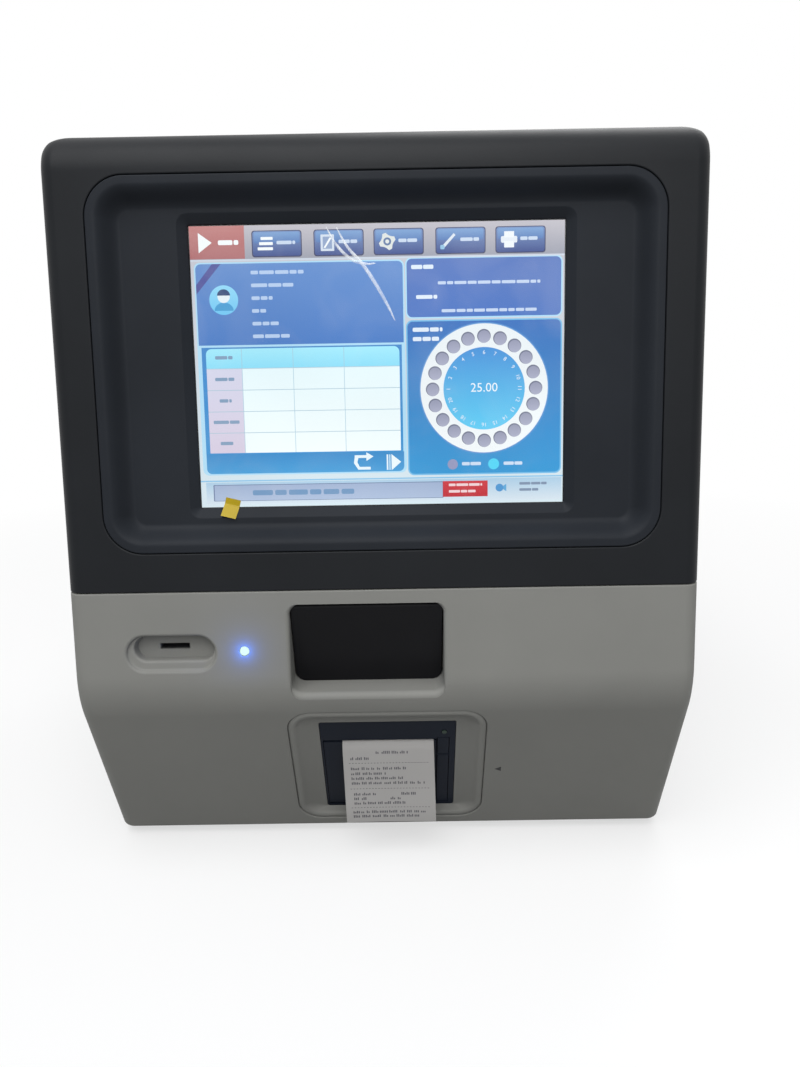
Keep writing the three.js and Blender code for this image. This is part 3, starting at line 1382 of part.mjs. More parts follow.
// Scan bridge: a steel table over the carousel with bent ends for the rails
const bridgeMargin = 8;
const bridgeHalf = carouselRadius + bridgeMargin;
const bridgeLeft = driveX - bridgeHalf;
const bridgeRight = driveX + bridgeHalf;
const bridgeUnder = bridgeHeight - plateThickness;
const railDrop = 11;
const railZ = bridgeHeight - railDrop;
const endDrop = 22;
const endMargin = 10;
const endHalf = scanRailSpacing / 2 + endMargin;
const bridgeFoot = (x0, x1) => span(
  x0, x1, scanFront - plateThickness, scanRear + plateThickness, legBottom, legBottom + plateThickness,
);
const bridgeEnd = (y) => span(
  driveX - endHalf, driveX + endHalf, y, y + plateThickness, bridgeHeight - endDrop, bridgeHeight,
);
const scanBridge = cut(
  join(
    span(
      bridgeLeft, bridgeRight, scanFront - plateThickness, scanRear + plateThickness, bridgeUnder,
      bridgeHeight,
    ),
    span(
      bridgeLeft, bridgeLeft + plateThickness, scanFront - plateThickness, scanRear + plateThickness,
      legBottom, bridgeHeight,
    ),
    span(
      bridgeRight - plateThickness, bridgeRight, scanFront - plateThickness, scanRear + plateThickness,
      legBottom, bridgeHeight,
    ),
    bridgeFoot(bridgeLeft - tableFoot, bridgeLeft + plateThickness),
    bridgeFoot(bridgeRight - plateThickness, bridgeRight + tableFoot),
    bridgeEnd(scanFront - plateThickness), bridgeEnd(scanRear),
  ),
  barY(screwRadius + restGap, driveX, scanRear - cutOverrun, scanRear + cutOverrun, railZ, 16),
);
add('scan_bridge', scanBridge, steel);
for (const [name, side] of [['scan_rail_left', -1], ['scan_rail_right', 1]]) {
  const x = driveX + side * scanRailSpacing / 2;
  add(name, barY(scanRailRadius, x, scanFront + restGap, scanRear - restGap, railZ, 16), brightSteel);
}

// Scan carriage on the rails with the optical head under it
const carriageFront = scanFront + scanInset;
const carriageBack = carriageFront + carriageLength;
const carriageMargin = 7;
const carriageHalf = scanRailSpacing / 2 + carriageMargin;
const carriageRise = 6;
const scanCarriage = cut(
  span(
    driveX - carriageHalf, driveX + carriageHalf, carriageFront, carriageBack, railZ - carriageRise,
    railZ + carriageRise,
  ),
  barY(
    scanRailRadius + restGap, driveX - scanRailSpacing / 2, carriageFront - cutOverrun,
    carriageBack + cutOverrun, railZ, 16,
  ),
  barY(
    scanRailRadius + restGap, driveX + scanRailSpacing / 2, carriageFront - cutOverrun,
    carriageBack + cutOverrun, railZ, 16,
  ),
  barY(screwRadius + restGap, driveX, carriageFront - cutOverrun, carriageBack + cutOverrun, railZ, 16),
);
add('scan_carriage', scanCarriage, blackPlastic);
const headHalf = 18;
const headTop = railZ - carriageRise - restGap;
const lensRadius = 6;
const lensDrop = 1.2;
const headBase = carouselTop + guideSheet + 2 * lensDrop;
const scanHead = join(
  span(driveX - headHalf, driveX + headHalf, carriageFront, carriageBack, headBase, headTop),
  barZ(lensRadius, driveX, (carriageFront + carriageBack) / 2, headBase - lensDrop, headTop - lensDrop, 20),
);
add('scan_head', scanHead, blackPlastic);

// Lead screw and its motor behind the bridge
const screwTail = 6;
const screwEnd = scanRear + plateThickness + screwTail;
const motorFront = scanRear + plateThickness + restGap;
add('lead_screw', barY(screwRadius, driveX, scanFront + restGap, screwEnd, railZ, 16), brightSteel);
const scanMotor = cut(
  span(driveX - scanMotorSide / 2, driveX + scanMotorSide / 2, motorFront, motorFront + scanMotorLength,
    railZ - scanMotorSide / 2, railZ + scanMotorSide / 2),
  barY(screwRadius + restGap, driveX, motorFront - cutOverrun, screwEnd + restGap, railZ, 16),
);
add('scan_motor', scanMotor, blackPlastic);

export default part;
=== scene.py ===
"""Looks of a bench-top rapid test reader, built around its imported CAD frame. Metres, +Z up."""
import random
from math import ceil, cos, hypot, pi, radians, sin, sqrt, tan

import bmesh
import bpy
from mathutils import Matrix, Vector


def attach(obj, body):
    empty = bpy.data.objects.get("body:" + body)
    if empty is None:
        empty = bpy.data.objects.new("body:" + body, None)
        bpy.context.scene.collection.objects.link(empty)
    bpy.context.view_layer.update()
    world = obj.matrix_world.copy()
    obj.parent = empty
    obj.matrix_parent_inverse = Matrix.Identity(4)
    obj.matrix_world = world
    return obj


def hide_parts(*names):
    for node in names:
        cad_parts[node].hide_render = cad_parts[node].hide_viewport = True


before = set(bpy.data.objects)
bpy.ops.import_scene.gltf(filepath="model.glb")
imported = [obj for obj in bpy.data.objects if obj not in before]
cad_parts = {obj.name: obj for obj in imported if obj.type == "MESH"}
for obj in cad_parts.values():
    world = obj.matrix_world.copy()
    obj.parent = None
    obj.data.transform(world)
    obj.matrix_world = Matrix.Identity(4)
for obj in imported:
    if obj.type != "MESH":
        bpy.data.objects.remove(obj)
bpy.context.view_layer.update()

MM = 0.001
random.seed(11)

# Sizes of the part in millimetres, the same as the CAD frame's where it has them
WIDTH, DEPTH, HEIGHT, FOOT = 366, 350, 438, 6
LEAN, UNDER = radians(8), radians(21.3)
NOSE_Z, NOSE_R, TOP_R, SIDE_R, BASE_R, EDGE_R = 123.6, 55, 24, 12, 5, 9
WALL, SEAM, SPLIT, TRAY_LIP, REAR_POST = 2.8, 187.5, 60, 10, 33
GAP, SEAM_GAP, OVER, EASE = 0.3, 0.35, 6, 0.8
DISPLAY_W, DISPLAY_H, SETBACK, ABOVE = 211.2, 158.4, 15, 126.9
DISH_W, DISH_H, DISH_RISE, DISH_R = 317, 207, -0.5, 22
DISH_RIM, DISH_SLOPE, DISH_DEPTH = 4, 12, 10
WINDOW, BEVEL, LIP, SHEET, EDGE, REBATE, OVERLAP = 0.6, 5, 1, 2.5, 6, 3, 4
INLET_X, INLET_W, INLET_DROP, INLET_R, LEDGE, INLET_DEPTH = -10, 92, 8.1, 8, 125.5, 22
LIP_R, LIP_START, SIDE_FLARE, SIDE_INSET, TOP_CORNER, FOOT_CORNER = 3, 2.3, 2.6, 1.2, 7, 6.5
FLAP_W, FLAP_T, FLAP_LEAN, FLAP_SETBACK, BARREL = 90.8, 2.4, radians(12), 2, 2.2
PIN_R, PIN_REACH = 1.2, 1.6
CARD_X, CARD_DROP, CARD_W, CARD_H, CARD_DEPTH, CARD_EDGE = -124.2, 36.2, 53.5, 22.6, 9, 0.7
CARD_SLOT_W, CARD_SLOT_H, CARD_SLOT_RISE = 17.4, 3.4, 2.3
LAMP_X, LAMP_DROP, LAMP_R, LAMP_DOME = -81.4, 35.3, 2.5, 0.8
BAY_X, BAY_TOP, BAY_BOTTOM, BAY_W, BAY_R, BAY_RIM, BAY_DEPTH = 0.5, 13, 117.7, 120.5, 15, 4.8, 5.5
RIM_FALL, PRINTER, PRINTER_DROP, PLATE, FACE_R, DOOR_TOP = 1.0, 84, 70, 3, 1.4, 23.6
PAPER_W, PAPER_T, PAPER_HANG, PAPER_SKEW, PRINT_LIFT = 57, 0.15, 55, 1.2, 0.17
SLOT_LEAD, STRIP_CURL, CURL_START, STROKE_PITCH, STROKE_W = 3.6, 0.7, 5, 1.1, 0.72
FILM_FACE, TAB_FACE, TAB_X, TAB_Z, TAB_W, TAB_H, TAB_T = -0.6, -0.9, -88, -79.5, 8.8, 10.6, 0.28
TAB_TURN, TAB_BEND = radians(14), 1.8
VENT_PITCH, VENT_SLOT, VENT_LENGTH = 9, 3.2, 46
BACK_VENTS, BACK_VENT_Z, SIDE_VENTS, SIDE_VENT_Y, SIDE_VENT_Z = 18, 330, 9, 92, 38


def new_object(name, data):
    """A new object in the scene."""
    made = bpy.data.objects.new(name, data)
    bpy.context.scene.collection.objects.link(made)
    return made


# --- camera, taken from the photograph's perspective
FOCAL, FRAME_LONG, SENSOR = 801, 1067, 36
EYE = Vector((0.0122, -0.6033, 0.3408))
PITCH, YAW, ROLL = radians(15.4), radians(-0.25), radians(1.0)
forward = Vector((sin(YAW) * cos(PITCH), cos(YAW) * cos(PITCH), -sin(PITCH)))
right = Vector((cos(YAW), -sin(YAW), 0))
down = forward.cross(right)
right, down = cos(ROLL) * right + sin(ROLL) * down, cos(ROLL) * down - sin(ROLL) * right
camera_data = bpy.data.cameras.new("camera")
camera_data.sensor_fit = "VERTICAL"
camera_data.sensor_height = SENSOR
camera_data.lens = SENSOR * FOCAL / FRAME_LONG
camera_data.clip_start = 0.01
camera = new_object("camera", camera_data)
camera.matrix_world = Matrix.Translation(EYE) @ Matrix((right, -down, -forward)).transposed().to_4x4()
bpy.context.scene.camera = camera
bpy.context.scene.view_settings.view_transform = "Standard"


# --- materials
DRIFT_SCALE, SMEAR_SCALE, NOISE_LOW, NOISE_HIGH = 14, 55, 0.3, 0.7


def linear(colour):
    """sRGB 0 to 255 as linear."""
    return tuple((c / 255 / 12.92) if c <= 10 else ((c / 255 + 0.055) / 1.055) ** 2.4 for c in colour)


def set_inputs(node, inputs):
    """Sets a node's inputs, or links them to the outputs of other nodes."""
    for key, value in inputs.items():
        if isinstance(value, bpy.types.NodeSocket):
            node.id_data.links.new(value, node.inputs[key])
        else:
            node.inputs[key].default_value = value


def node_adder(tree):
    """A short way to add a node to a tree."""
    def add(kind, inputs=None, **props):
        node = tree.nodes.new("ShaderNode" + kind)
        for key, value in props.items():
            setattr(node, key, value)
        set_inputs(node, inputs or {})
        return node

    return add


def new_material(name):
    """A material, its Principled shader and its node adder."""
    made = bpy.data.materials.new(name)
    made.use_nodes = True
    return made, made.node_tree.nodes["Principled BSDF"], node_adder(made.node_tree)


def ramp(add, fac, low, high, start=0.0, end=1.0):
    """A colour ramp between two colours."""
    node = add("ValToRGB", {"Fac": fac})
    for element, place, colour in zip(node.color_ramp.elements, (start, end), (low, high)):
        element.position, element.color = place, tuple(colour) + (1,)
    return node.outputs["Color"]


def remap(add, value, low, high, start=0.0, end=1.0):
    """A value that runs from start to end, as a value that runs from low to high."""
    return add("MapRange", {"Value": value, "From Min": start, "From Max": end, "To Min": low,
                            "To Max": high}).outputs["Result"]


def noise(add, place, scale, detail, rough=0.5, twist=0.0):
    return add("TexNoise", {"Vector": place, "Scale": scale, "Detail": detail, "Roughness": rough,
                            "Distortion": twist}).outputs["Fac"]


def finish(name, colour, rough, grain, relief, vary, spread=0.08, specular=0.35, metal=0.0, stretch=(1, 1, 1),
           coat=0.0, sheen=0.0, speck=None):
    """A moulded, painted, brushed or paper surface.

    Its colour drifts by vary and its roughness by spread. Its grain stands out by relief, in millimetres.
    """
    made, shader, add = new_material(name)
    place = add("TexCoord").outputs["Object"]
    mapped = add("Mapping", {"Vector": place, "Scale": stretch}).outputs["Vector"]
    broad = noise(add, place, DRIFT_SCALE, 3, 0.55)
    fine = noise(add, mapped, grain, 2, 0.6)
    smear = noise(add, place, SMEAR_SCALE, 4, 0.65)
    low, high = ([min(c * (1 + way * vary), 1) for c in linear(colour)] for way in (-1, 1))
    tint = ramp(add, broad, low, high, NOISE_LOW, NOISE_HIGH)
    if speck:
        dots = ramp(add, fine, (0, 0, 0), (1, 1, 1), 0.56, 0.66)
        tint = add("Mix", {0: dots, 6: tint, 7: linear(speck) + (1,)}, data_type="RGBA").outputs[2]
    worn = remap(add, smear, rough - spread, rough + spread, NOISE_LOW, NOISE_HIGH)
    grit = remap(add, fine, -spread / 3, spread / 3, NOISE_LOW, NOISE_HIGH)
    roughness = add("Math", {0: worn, 1: grit}, operation="ADD", use_clamp=True).outputs[0]
    set_inputs(shader, {"Base Color": tint, "Roughness": roughness, "Metallic": metal,
                        "Specular IOR Level": specular, "Coat Weight": coat, "Sheen Weight": sheen})
    if relief:
        bump = add("Bump", {"Height": fine, "Distance": relief * MM, "Strength": 0.6})
        set_inputs(shader, {"Normal": bump.outputs["Normal"]})
    return made


def glowing(name, strength, colour=None, attribute=None):
    """A lit surface of one colour, or of its mesh's colours, with the slight drift of a backlight."""
    made, shader, add = new_material(name)
    place = add("TexCoord").outputs["Object"]
    level = remap(add, noise(add, place, 9, 2), 0.93, 1.03, NOISE_LOW, NOISE_HIGH)
    if attribute:
        source = add("VertexColor", layer_name=attribute).outputs["Color"]
    else:
        source = ramp(add, noise(add, place, 900, 2), linear([c * 0.94 for c in colour]), linear(colour))
    lit = add("VectorMath", {0: source, "Scale": level}, operation="SCALE").outputs[0]
    set_inputs(shader, {"Emission Color": lit, "Emission Strength": strength, "Roughness": 0.4,
                        "Base Color": (0.01, 0.01, 0.012, 1), "Specular IOR Level": 0})
    return made


def clear_film():
    """Clear film: mostly see-through, glossy, with a faint milky veil in creased areas."""
    made, shader, add = new_material("clear_film")
    swirl = noise(add, add("TexCoord").outputs["Object"], 22, 3, twist=1.2)
    bump = add("Bump", {"Height": swirl, "Distance": 0.4 * MM, "Strength": 0.4})
    set_inputs(shader, {"Alpha": remap(add, swirl, 0.01, 0.05, 0.45, 0.8),
                        "Roughness": remap(add, swirl, 0.08, 0.25),
                        "Base Color": remap(add, swirl, 0.7, 0.9), "Normal": bump.outputs["Normal"]})
    return made


def film_crease_glare():
    """Raised creases in the film, coloured near-white and patchily see-through: a painted glare streak along
    each crease.
    """
    # Near-white colour: a painted highlight of glare on the crease
    made = finish("film_crease_glare", (240, 244, 248), 0.25, 300, 0.05, 0.05, specular=0.6)
    add = node_adder(made.node_tree)
    fade = remap(add, noise(add, add("TexCoord").outputs["Object"], 160, 2), 0.35, 0.85, 0.35, 0.65)
    set_inputs(made.node_tree.nodes["Principled BSDF"], {"Alpha": fade})
    return made


DARK = finish("dark_moulding", (27, 29, 32), 0.42, 1500, 0.05, 0.10, spread=0.018, specular=0.12)
DISH = finish("dish_moulding", (37, 40, 45), 0.45, 1500, 0.04, 0.10, spread=0.03, specular=0.07)
LIGHT = finish("light_moulding", (131, 131, 127), 0.5, 1300, 0.05, 0.035, specular=0.08)
BLACK = finish("black_moulding", (27, 27, 29), 0.42, 1200, 0.04, 0.12, specular=0.06)
READER = finish("reader_moulding", (66, 66, 68), 0.5, 1200, 0.04, 0.1, specular=0.2)
PRINTER_DARK = finish("printer_moulding", (27, 32, 42), 0.38, 1600, 0.03, 0.10, specular=0.06)
RUBBER = finish("foot_rubber", (26, 26, 26), 0.85, 900, 0.12, 0.2, specular=0.15)
WHITE = finish("white_moulding", (205, 204, 198), 0.45, 900, 0.03, 0.04)
SHEET_STEEL = finish("sheet_steel", (126, 128, 131), 0.42, 500, 0.02, 0.08, metal=0.75, stretch=(1, 1, 12))
BRIGHT = finish("bright_steel", (190, 192, 194), 0.22, 700, 0.01, 0.05, metal=1.0, stretch=(1, 10, 1))
BOARD = finish("circuit_board", (26, 74, 44), 0.4, 420, 0.04, 0.25, speck=(176, 168, 120), coat=0.3)
# White thermal paper greyed in its base colour: painted shade
SHADED_PAPER = finish("thermal_paper_painted_shade", (170, 168, 166), 0.62, 700, 0.03, 0.03, specular=0.1, sheen=0.05)
YELLOW = finish("pull_tab_film", (172, 148, 20), 0.35, 600, 0.03, 0.12, specular=0.2)
BADGE = finish("printed_mark", (16, 16, 18), 0.5, 1500, 0.01, 0.15)
INK = finish("receipt_print", (88, 87, 92), 0.6, 2500, 0, 0.35)
LENS = glowing("status_lens", 1.1, colour=(222, 252, 244))
GREEN = finish("green_lens", (20, 42, 30), 0.35, 400, 0.02, 0.15, specular=0.3)
SCREEN = glowing("screen_picture", 1.04, attribute="tint")
GLASS = finish("touch_glass", (12, 14, 18), 0.08, 60, 0, 0.2, spread=0.03, specular=0.5)
FILM = clear_film()
# Film creases coloured with painted glare
CREASE_GLARE = film_crease_glare()

# The CAD solids that show as they are, each with its look
for look, node_names in (
    (GLASS, "touch_glass"),
    (BOARD, "main_board"),
    (READER, "card_reader"),
    (RUBBER, "platen_roller"),
    (SHADED_PAPER, "paper_roll"),
    (GREEN, "printer_lamp"),
    (WHITE, "platen_gear carousel carousel_gear"),
    (SHEET_STEEL, "lcd_module lcd_bracket thermal_head base_tray rear_panel socket_plate power_supply "
                  "drive_bracket scan_bridge"),
    (BRIGHT, "usb_port network_port serial_port motor_pinion bearing_housing carousel_shaft scan_rail_left "
             "scan_rail_right lead_screw"),
    (BLACK, "fan_frame fan_rotor power_inlet power_switch power_rocker carousel_motor cassette_guide "
            "scan_carriage scan_head scan_motor"),
):
    for node_name in node_names.split():
        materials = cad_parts[node_name].data.materials
        materials.clear()
        materials.append(look)


# --- mesh helpers, in millimetres but for the welds
WELD, CAD_WELD, FLAT = 1e-7, 1e-6, radians(1.5)


def build(points, faces, matrix=None):
    """A mesh object from millimetre points, its faces turned outward."""
    mesh = bpy.data.meshes.new("piece")
    mesh.from_pydata([(matrix @ Vector(p) if matrix else Vector(p)) * MM for p in points], [], faces)
    work = bmesh.new()
    work.from_mesh(mesh)
    bmesh.ops.remove_doubles(work, verts=work.verts, dist=WELD)
    bmesh.ops.recalc_face_normals(work, faces=work.faces)
    work.to_mesh(mesh)
    work.free()
    return new_object("piece", mesh)


def skin(rings, matrix=None, ringed=False):
    """A skin through rings of points: closed by end caps, or round on itself as a frame."""
    count = len(rings[0])
    faces = []
    for k in range(len(rings) if ringed else len(rings) - 1):
        a, b = k * count, (k + 1) % len(rings) * count
        for i in range(count):
            j = (i + 1) % count
            faces.append((a + i, a + j, b + j, b + i))
    if not ringed:
        faces.append(tuple(range(count - 1, -1, -1)))
        faces.append(tuple(range((len(rings) - 1) * count, len(rings) * count)))
    return build([p for ring in rings for p in ring], faces, matrix)


def arc(u, v, radius, start, end, steps, rise=1.0):
    """Points about a centre, between two angles in quarter turns. A rise makes it taller or flatter."""
    angles = [(start + (end - start) * i / steps) * pi / 2 for i in range(steps + 1)]
    return [(u + radius * cos(a), v + radius * rise * sin(a)) for a in angles]


def circle(u, v, radius, sides):
    return arc(u, v, radius, 0, 4, sides)[:-1]


def ring(hx, hz, r, y, x=0, z=0, steps=10):
    """A rounded rectangle in X and Z at depth y."""
    r = max(min(r, hx, hz), 0.01 * min(hx, hz))
    corners = ((1, 1), (-1, 1), (-1, -1), (1, -1))
    return [(u, y, w) for k, (sx, sz) in enumerate(corners)
            for u, w in arc(x + sx * (hx - r), z + sz * (hz - r), r, k, k + 1, steps)]


def span(x0, x1, y0, y1, z0, z1, matrix=None):
    """A plain box."""
    points = [(x, y, z) for x in (x0, x1) for y in (y0, y1) for z in (z0, z1)]
    faces = [(0, 1, 3, 2), (4, 6, 7, 5), (0, 4, 5, 1), (2, 3, 7, 6), (0, 2, 6, 4), (1, 5, 7, 3)]
    return build(points, faces, matrix)


def slab(x0=-WIDTH, x1=WIDTH, y0=-DEPTH, y1=DEPTH, z0=-OVER, z1=HEIGHT):
    """A box that reaches past the part on the sides that aren't given."""
    return span(x0, x1, y0, y1, z0, z1)


def prism_x(outline, x0, x1, matrix=None):
    """An outline in Y and Z pushed along X."""
    return skin([[(x, y, z) for y, z in outline] for x in (x0, x1)], matrix)


def circle_y(radius, x, y, z, sides=32):
    return [(u, y, w) for u, w in circle(x, z, radius, sides)]


def evaluated_mesh(made):
    """A new mesh of an object, as its modifiers leave it."""
    bpy.context.view_layer.update()
    return bpy.data.meshes.new_from_object(made.evaluated_get(bpy.context.evaluated_depsgraph_get()))


def settle(made):
    """Applies the modifiers of a piece to its mesh."""
    fresh = evaluated_mesh(made)
    made.modifiers.clear()
    made.data = fresh


def boolean(operation):
    """A function that changes a base by each tool in turn. The tools are used up."""
    def combine(base, *tools):
        for tool in tools:
            change = base.modifiers.new("change", "BOOLEAN")
            change.operation, change.solver, change.object = operation, "MANIFOLD", tool
            settle(base)
            bpy.data.objects.remove(tool)
        return base

    return combine


cut, common, join = (boolean(operation) for operation in ("DIFFERENCE", "INTERSECT", "UNION"))


def copy_of(source):
    return new_object("copy", source.data.copy())


def dissolve_doubles(made):
    """Welds a mesh's double points and drops the lines across its flat faces."""
    work = bmesh.new()
    work.from_mesh(made.data)
    bmesh.ops.remove_doubles(work, verts=work.verts, dist=CAD_WELD)
    bmesh.ops.dissolve_limit(work, angle_limit=FLAT, verts=work.verts, edges=work.edges)
    work.to_mesh(made.data)
    work.free()


def dress(made, name, look, stands_for=(), body="housing", angle=35, soften=0.0):
    """Names, smooths, paints and mounts a piece on its CAD body."""
    made.name = made.data.name = name
    if soften:
        rounder = made.modifiers.new("rounder", "BEVEL")
        rounder.width, rounder.segments, rounder.limit_method = soften * MM, 2, "ANGLE"
        rounder.angle_limit, rounder.harden_normals = radians(40), False
        settle(made)
    for face in made.data.polygons:
        face.use_smooth = True
    made.data.set_sharp_from_angle(angle=radians(angle))
    weigher = made.modifiers.new("weigher", "WEIGHTED_NORMAL")
    weigher.keep_sharp, weigher.weight = True, 80
    settle(made)
    made.data.materials.clear()
    made.data.materials.append(look)
    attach(made, body)
    if stands_for:
        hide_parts(*stands_for)


def softened(node, look, body, width):
    """A rounded-edge copy of a boxy CAD node, which stands for it."""
    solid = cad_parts[node].data
    points, faces = [tuple(v.co / MM) for v in solid.vertices], [tuple(f.vertices) for f in solid.polygons]
    made = build(points, faces)
    dissolve_doubles(made)
    dress(made, node + "_soft", look, (node,), body, soften=width)


# --- casing shape
NOSE_TANGENT = NOSE_R * tan((LEAN + UNDER) / 2)
CORNER_Y = -DEPTH / 2 + NOSE_R - NOSE_TANGENT * sin(LEAN) - NOSE_R * cos(LEAN)
NOSE_Y = CORNER_Y + NOSE_TANGENT * sin(LEAN) + NOSE_R * cos(LEAN)
NOSE_MID = NOSE_Z + NOSE_TANGENT * cos(LEAN) - NOSE_R * sin(LEAN)
TOP_Z = HEIGHT - TOP_R
TOE_Z = FOOT + BASE_R


def screen_y(z):
    return CORNER_Y + (z - NOSE_Z) * tan(LEAN)


def lower_y(z):
    return CORNER_Y + (NOSE_Z - z) * tan(UNDER)


TOP_Y = screen_y(HEIGHT - TOP_R * (1 - sin(LEAN))) + TOP_R * cos(LEAN)
TOE_Y = lower_y(FOOT + BASE_R * (1 - sin(UNDER))) + BASE_R * cos(UNDER)


def front_y(z, inset):
    """Where the casing's front lies at a height, drawn in by an inset."""
    def round_front(y, mid, radius):
        return y - sqrt(max(radius * radius - (z - mid) ** 2, 0))
    if z >= TOP_Z + (TOP_R - inset) * sin(LEAN):
        return round_front(TOP_Y, TOP_Z, TOP_R - inset)
    if z >= NOSE_MID + (NOSE_R - inset) * sin(LEAN):
        return screen_y(z) + inset / cos(LEAN)
    if z >= NOSE_MID - (NOSE_R - inset) * sin(UNDER):
        return round_front(NOSE_Y, NOSE_MID, NOSE_R - inset)
    if z >= TOE_Z - (BASE_R - inset) * sin(UNDER):
        return lower_y(z) + inset / cos(UNDER)
    return round_front(TOE_Y, TOE_Z, BASE_R - inset)


def levels(inset, low=0.0, high=HEIGHT, fine=1.0):
    """Heights of the casing's sections, with an eased edge at a seam."""
    heights = []
    for mid, radius, start, end, steps in (
        (TOE_Z, BASE_R - inset, -pi / 2, -UNDER, 8),
        (NOSE_MID, NOSE_R - inset, -UNDER, LEAN, 26),
        (TOP_Z, TOP_R - inset, LEAN, pi / 2, 26),
    ):
        count = ceil(steps * fine)
        heights += [mid + radius * sin(start + (end - start) * i / count) for i in range(count + 1)]
    heights = [z for z in heights if low <= z <= high]
    for edge, way in ((low, 1), (high, -1)):
        if FOOT < edge < HEIGHT:
            heights += [edge + way * EASE * t / 4 for t in range(5)]
    return sorted(heights)


def drawn_in(rise, radius):
    """How far a round edge of a radius has drawn in at a rise above its middle."""
    return radius - sqrt(max(radius ** 2 - rise ** 2, 0)) if rise > 0 else 0


def section(z, inset, low, high, steps):
    """The casing's outline at a height, rounded at its four corners and eased at a seam."""
    drawn = drawn_in(z - (HEIGHT - SIDE_R), SIDE_R - inset) + drawn_in(FOOT + BASE_R - z, BASE_R - inset)
    eased = 0
    for edge in (low, high):
        near = abs(z - edge)
        if FOOT < edge < HEIGHT and near < EASE:
            eased = drawn_in(EASE - near, EASE)
    radius = EDGE_R - inset - min(drawn, EDGE_R / 3)
    side = WIDTH / 2 - inset - drawn - eased - radius
    front, back = front_y(z, inset) + eased + radius, DEPTH / 2 - inset - drawn - eased - radius
    corners = ((side, back), (-side, back), (-side, front), (side, front))
    return [(x, y, z) for k, (u, v) in enumerate(corners) for x, y in arc(u, v, radius, k, k + 1, steps)]


def casing(inset=0.0, low=0.0, high=HEIGHT, steps=10, fine=1.0):
    return skin([section(z, inset, low, high, steps) for z in levels(inset, low, high, fine)])


DISPLAY_Z = SEAM + ABOVE * cos(LEAN) - SETBACK * sin(LEAN)
DISPLAY_Y = screen_y(SEAM) + ABOVE * sin(LEAN) + SETBACK * cos(LEAN)
ON_SCREEN = Matrix.Translation((0, DISPLAY_Y, DISPLAY_Z)) @ Matrix.Rotation(-LEAN, 4, "X")
ON_LOWER = Matrix.Translation((0, CORNER_Y, NOSE_Z)) @ Matrix.Rotation(UNDER, 4, "X")
ON_PRINTER = ON_LOWER @ Matrix.Translation((BAY_X, BAY_DEPTH, -PRINTER_DROP))
SPLIT_Y = screen_y(SEAM) + SPLIT / cos(LEAN)
SPLIT_OVER = 4


def beside(path, i):
    """The unit step square to a path in X and Z, at one of its points."""
    (ax, az), (bx, bz) = path[max(i - 1, 0)], path[min(i + 1, len(path) - 1)]
    along = hypot(bx - ax, bz - az)
    return (az - bz) / along, (bx - ax) / along


def split_bead(shift=0.0):
    """A thin diamond swept over the line where the screen frame meets the cover, to ease both edges."""
    spread, corner = 0.55, (-WIDTH / 2 + SIDE_R, HEIGHT - SIDE_R)
    path = [(-WIDTH / 2, SEAM - SPLIT_OVER)] + arc(*corner, SIDE_R, 2, 1, 8)
    path += [(-x, z) for x, z in reversed(path)]
    rings = []
    for i, (x, z) in enumerate(path):
        nx, nz = (part * spread for part in beside(path, i))
        y, reach = SPLIT_Y + shift + (z - SEAM) * tan(LEAN), spread + SEAM_GAP / 2
        rings.append([(x + nx, y, z + nz), (x, y - reach, z), (x - nx, y, z - nz), (x, y + reach, z)])
    return skin(rings)


def beyond_split(far, gap):
    """Everything above the seam from the leaning split to a far depth."""
    low, high = SEAM - SPLIT_OVER, HEIGHT + OVER
    edge = [(SPLIT_Y + gap + (z - SEAM) * tan(LEAN), z) for z in (low, high)]
    return prism_x(edge + [(far, high), (far, low)], -WIDTH, WIDTH)


def eased_mouth(make_ring, y, radius, steps=5):
    """Rings of a cutter whose mouth flares out to a round edge at depth y."""
    rings = [make_ring(radius, y - OVER), make_ring(radius, y)]
    for i in range(1, steps + 1):
        a = i / steps * pi / 2
        rings.append(make_ring(radius * (1 - sin(a)), y + radius * (1 - cos(a))))
    return rings


def dish_ring(grow, y, steps=18):
    return ring(DISH_W / 2 + grow, DISH_H / 2 + grow, DISH_R + grow, y, 0, DISH_RISE, steps)


def bay_ring(grow, y, steps=14):
    half, middle = (BAY_BOTTOM - BAY_TOP) / 2, -(BAY_TOP + BAY_BOTTOM) / 2
    return ring(BAY_W / 2 + grow, half + grow, BAY_R + grow, y, BAY_X, middle, steps)


def rebate(make_ring, front, seat, matrix):
    """The frame behind an opening that its bezel or surround seats in."""
    rings = [make_ring(REBATE, front), make_ring(SEAM_GAP, front), make_ring(SEAM_GAP, seat),
             make_ring(-REBATE, seat), make_ring(-REBATE, seat + SHEET), make_ring(REBATE, seat + SHEET)]
    return skin(rings, matrix, True)


# --- upper housing: screen frame and cover
inner = casing(WALL, fine=0.6, steps=6)
outer_full = casing(steps=6, fine=0.6)
screen_frame = cut(casing(low=SEAM + SEAM_GAP / 2), copy_of(inner))
cover = common(copy_of(screen_frame), beyond_split(DEPTH, SEAM_GAP))
common(screen_frame, beyond_split(-DEPTH, 0))
dish_mouth = eased_mouth(lambda grow, y: dish_ring(SEAM_GAP + grow, y), -SETBACK, EASE)
cut(screen_frame, skin(dish_mouth + [dish_ring(SEAM_GAP, -SETBACK + OVER)], ON_SCREEN))
dish_seat = rebate(dish_ring, -SETBACK + WALL / 2, -SETBACK + EDGE + GAP, ON_SCREEN)
join(screen_frame, common(dish_seat, copy_of(outer_full)))
cut(screen_frame, split_bead())
dress(screen_frame, "screen_frame_skin", DARK, ("screen_frame",))


def vent(at, near, far, low, sideways=False):
    """A cutter for one vent slot with rounded ends, along Y or, sideways, along X."""
    half, high = VENT_SLOT / 2, low + VENT_LENGTH
    outline = arc(at, high - half, half, 0, 2, 16) + arc(at, low + half, half, 2, 4, 16)
    return skin([[(w, u, v) if sideways else (u, w, v) for u, v in outline] for w in (near, far)])


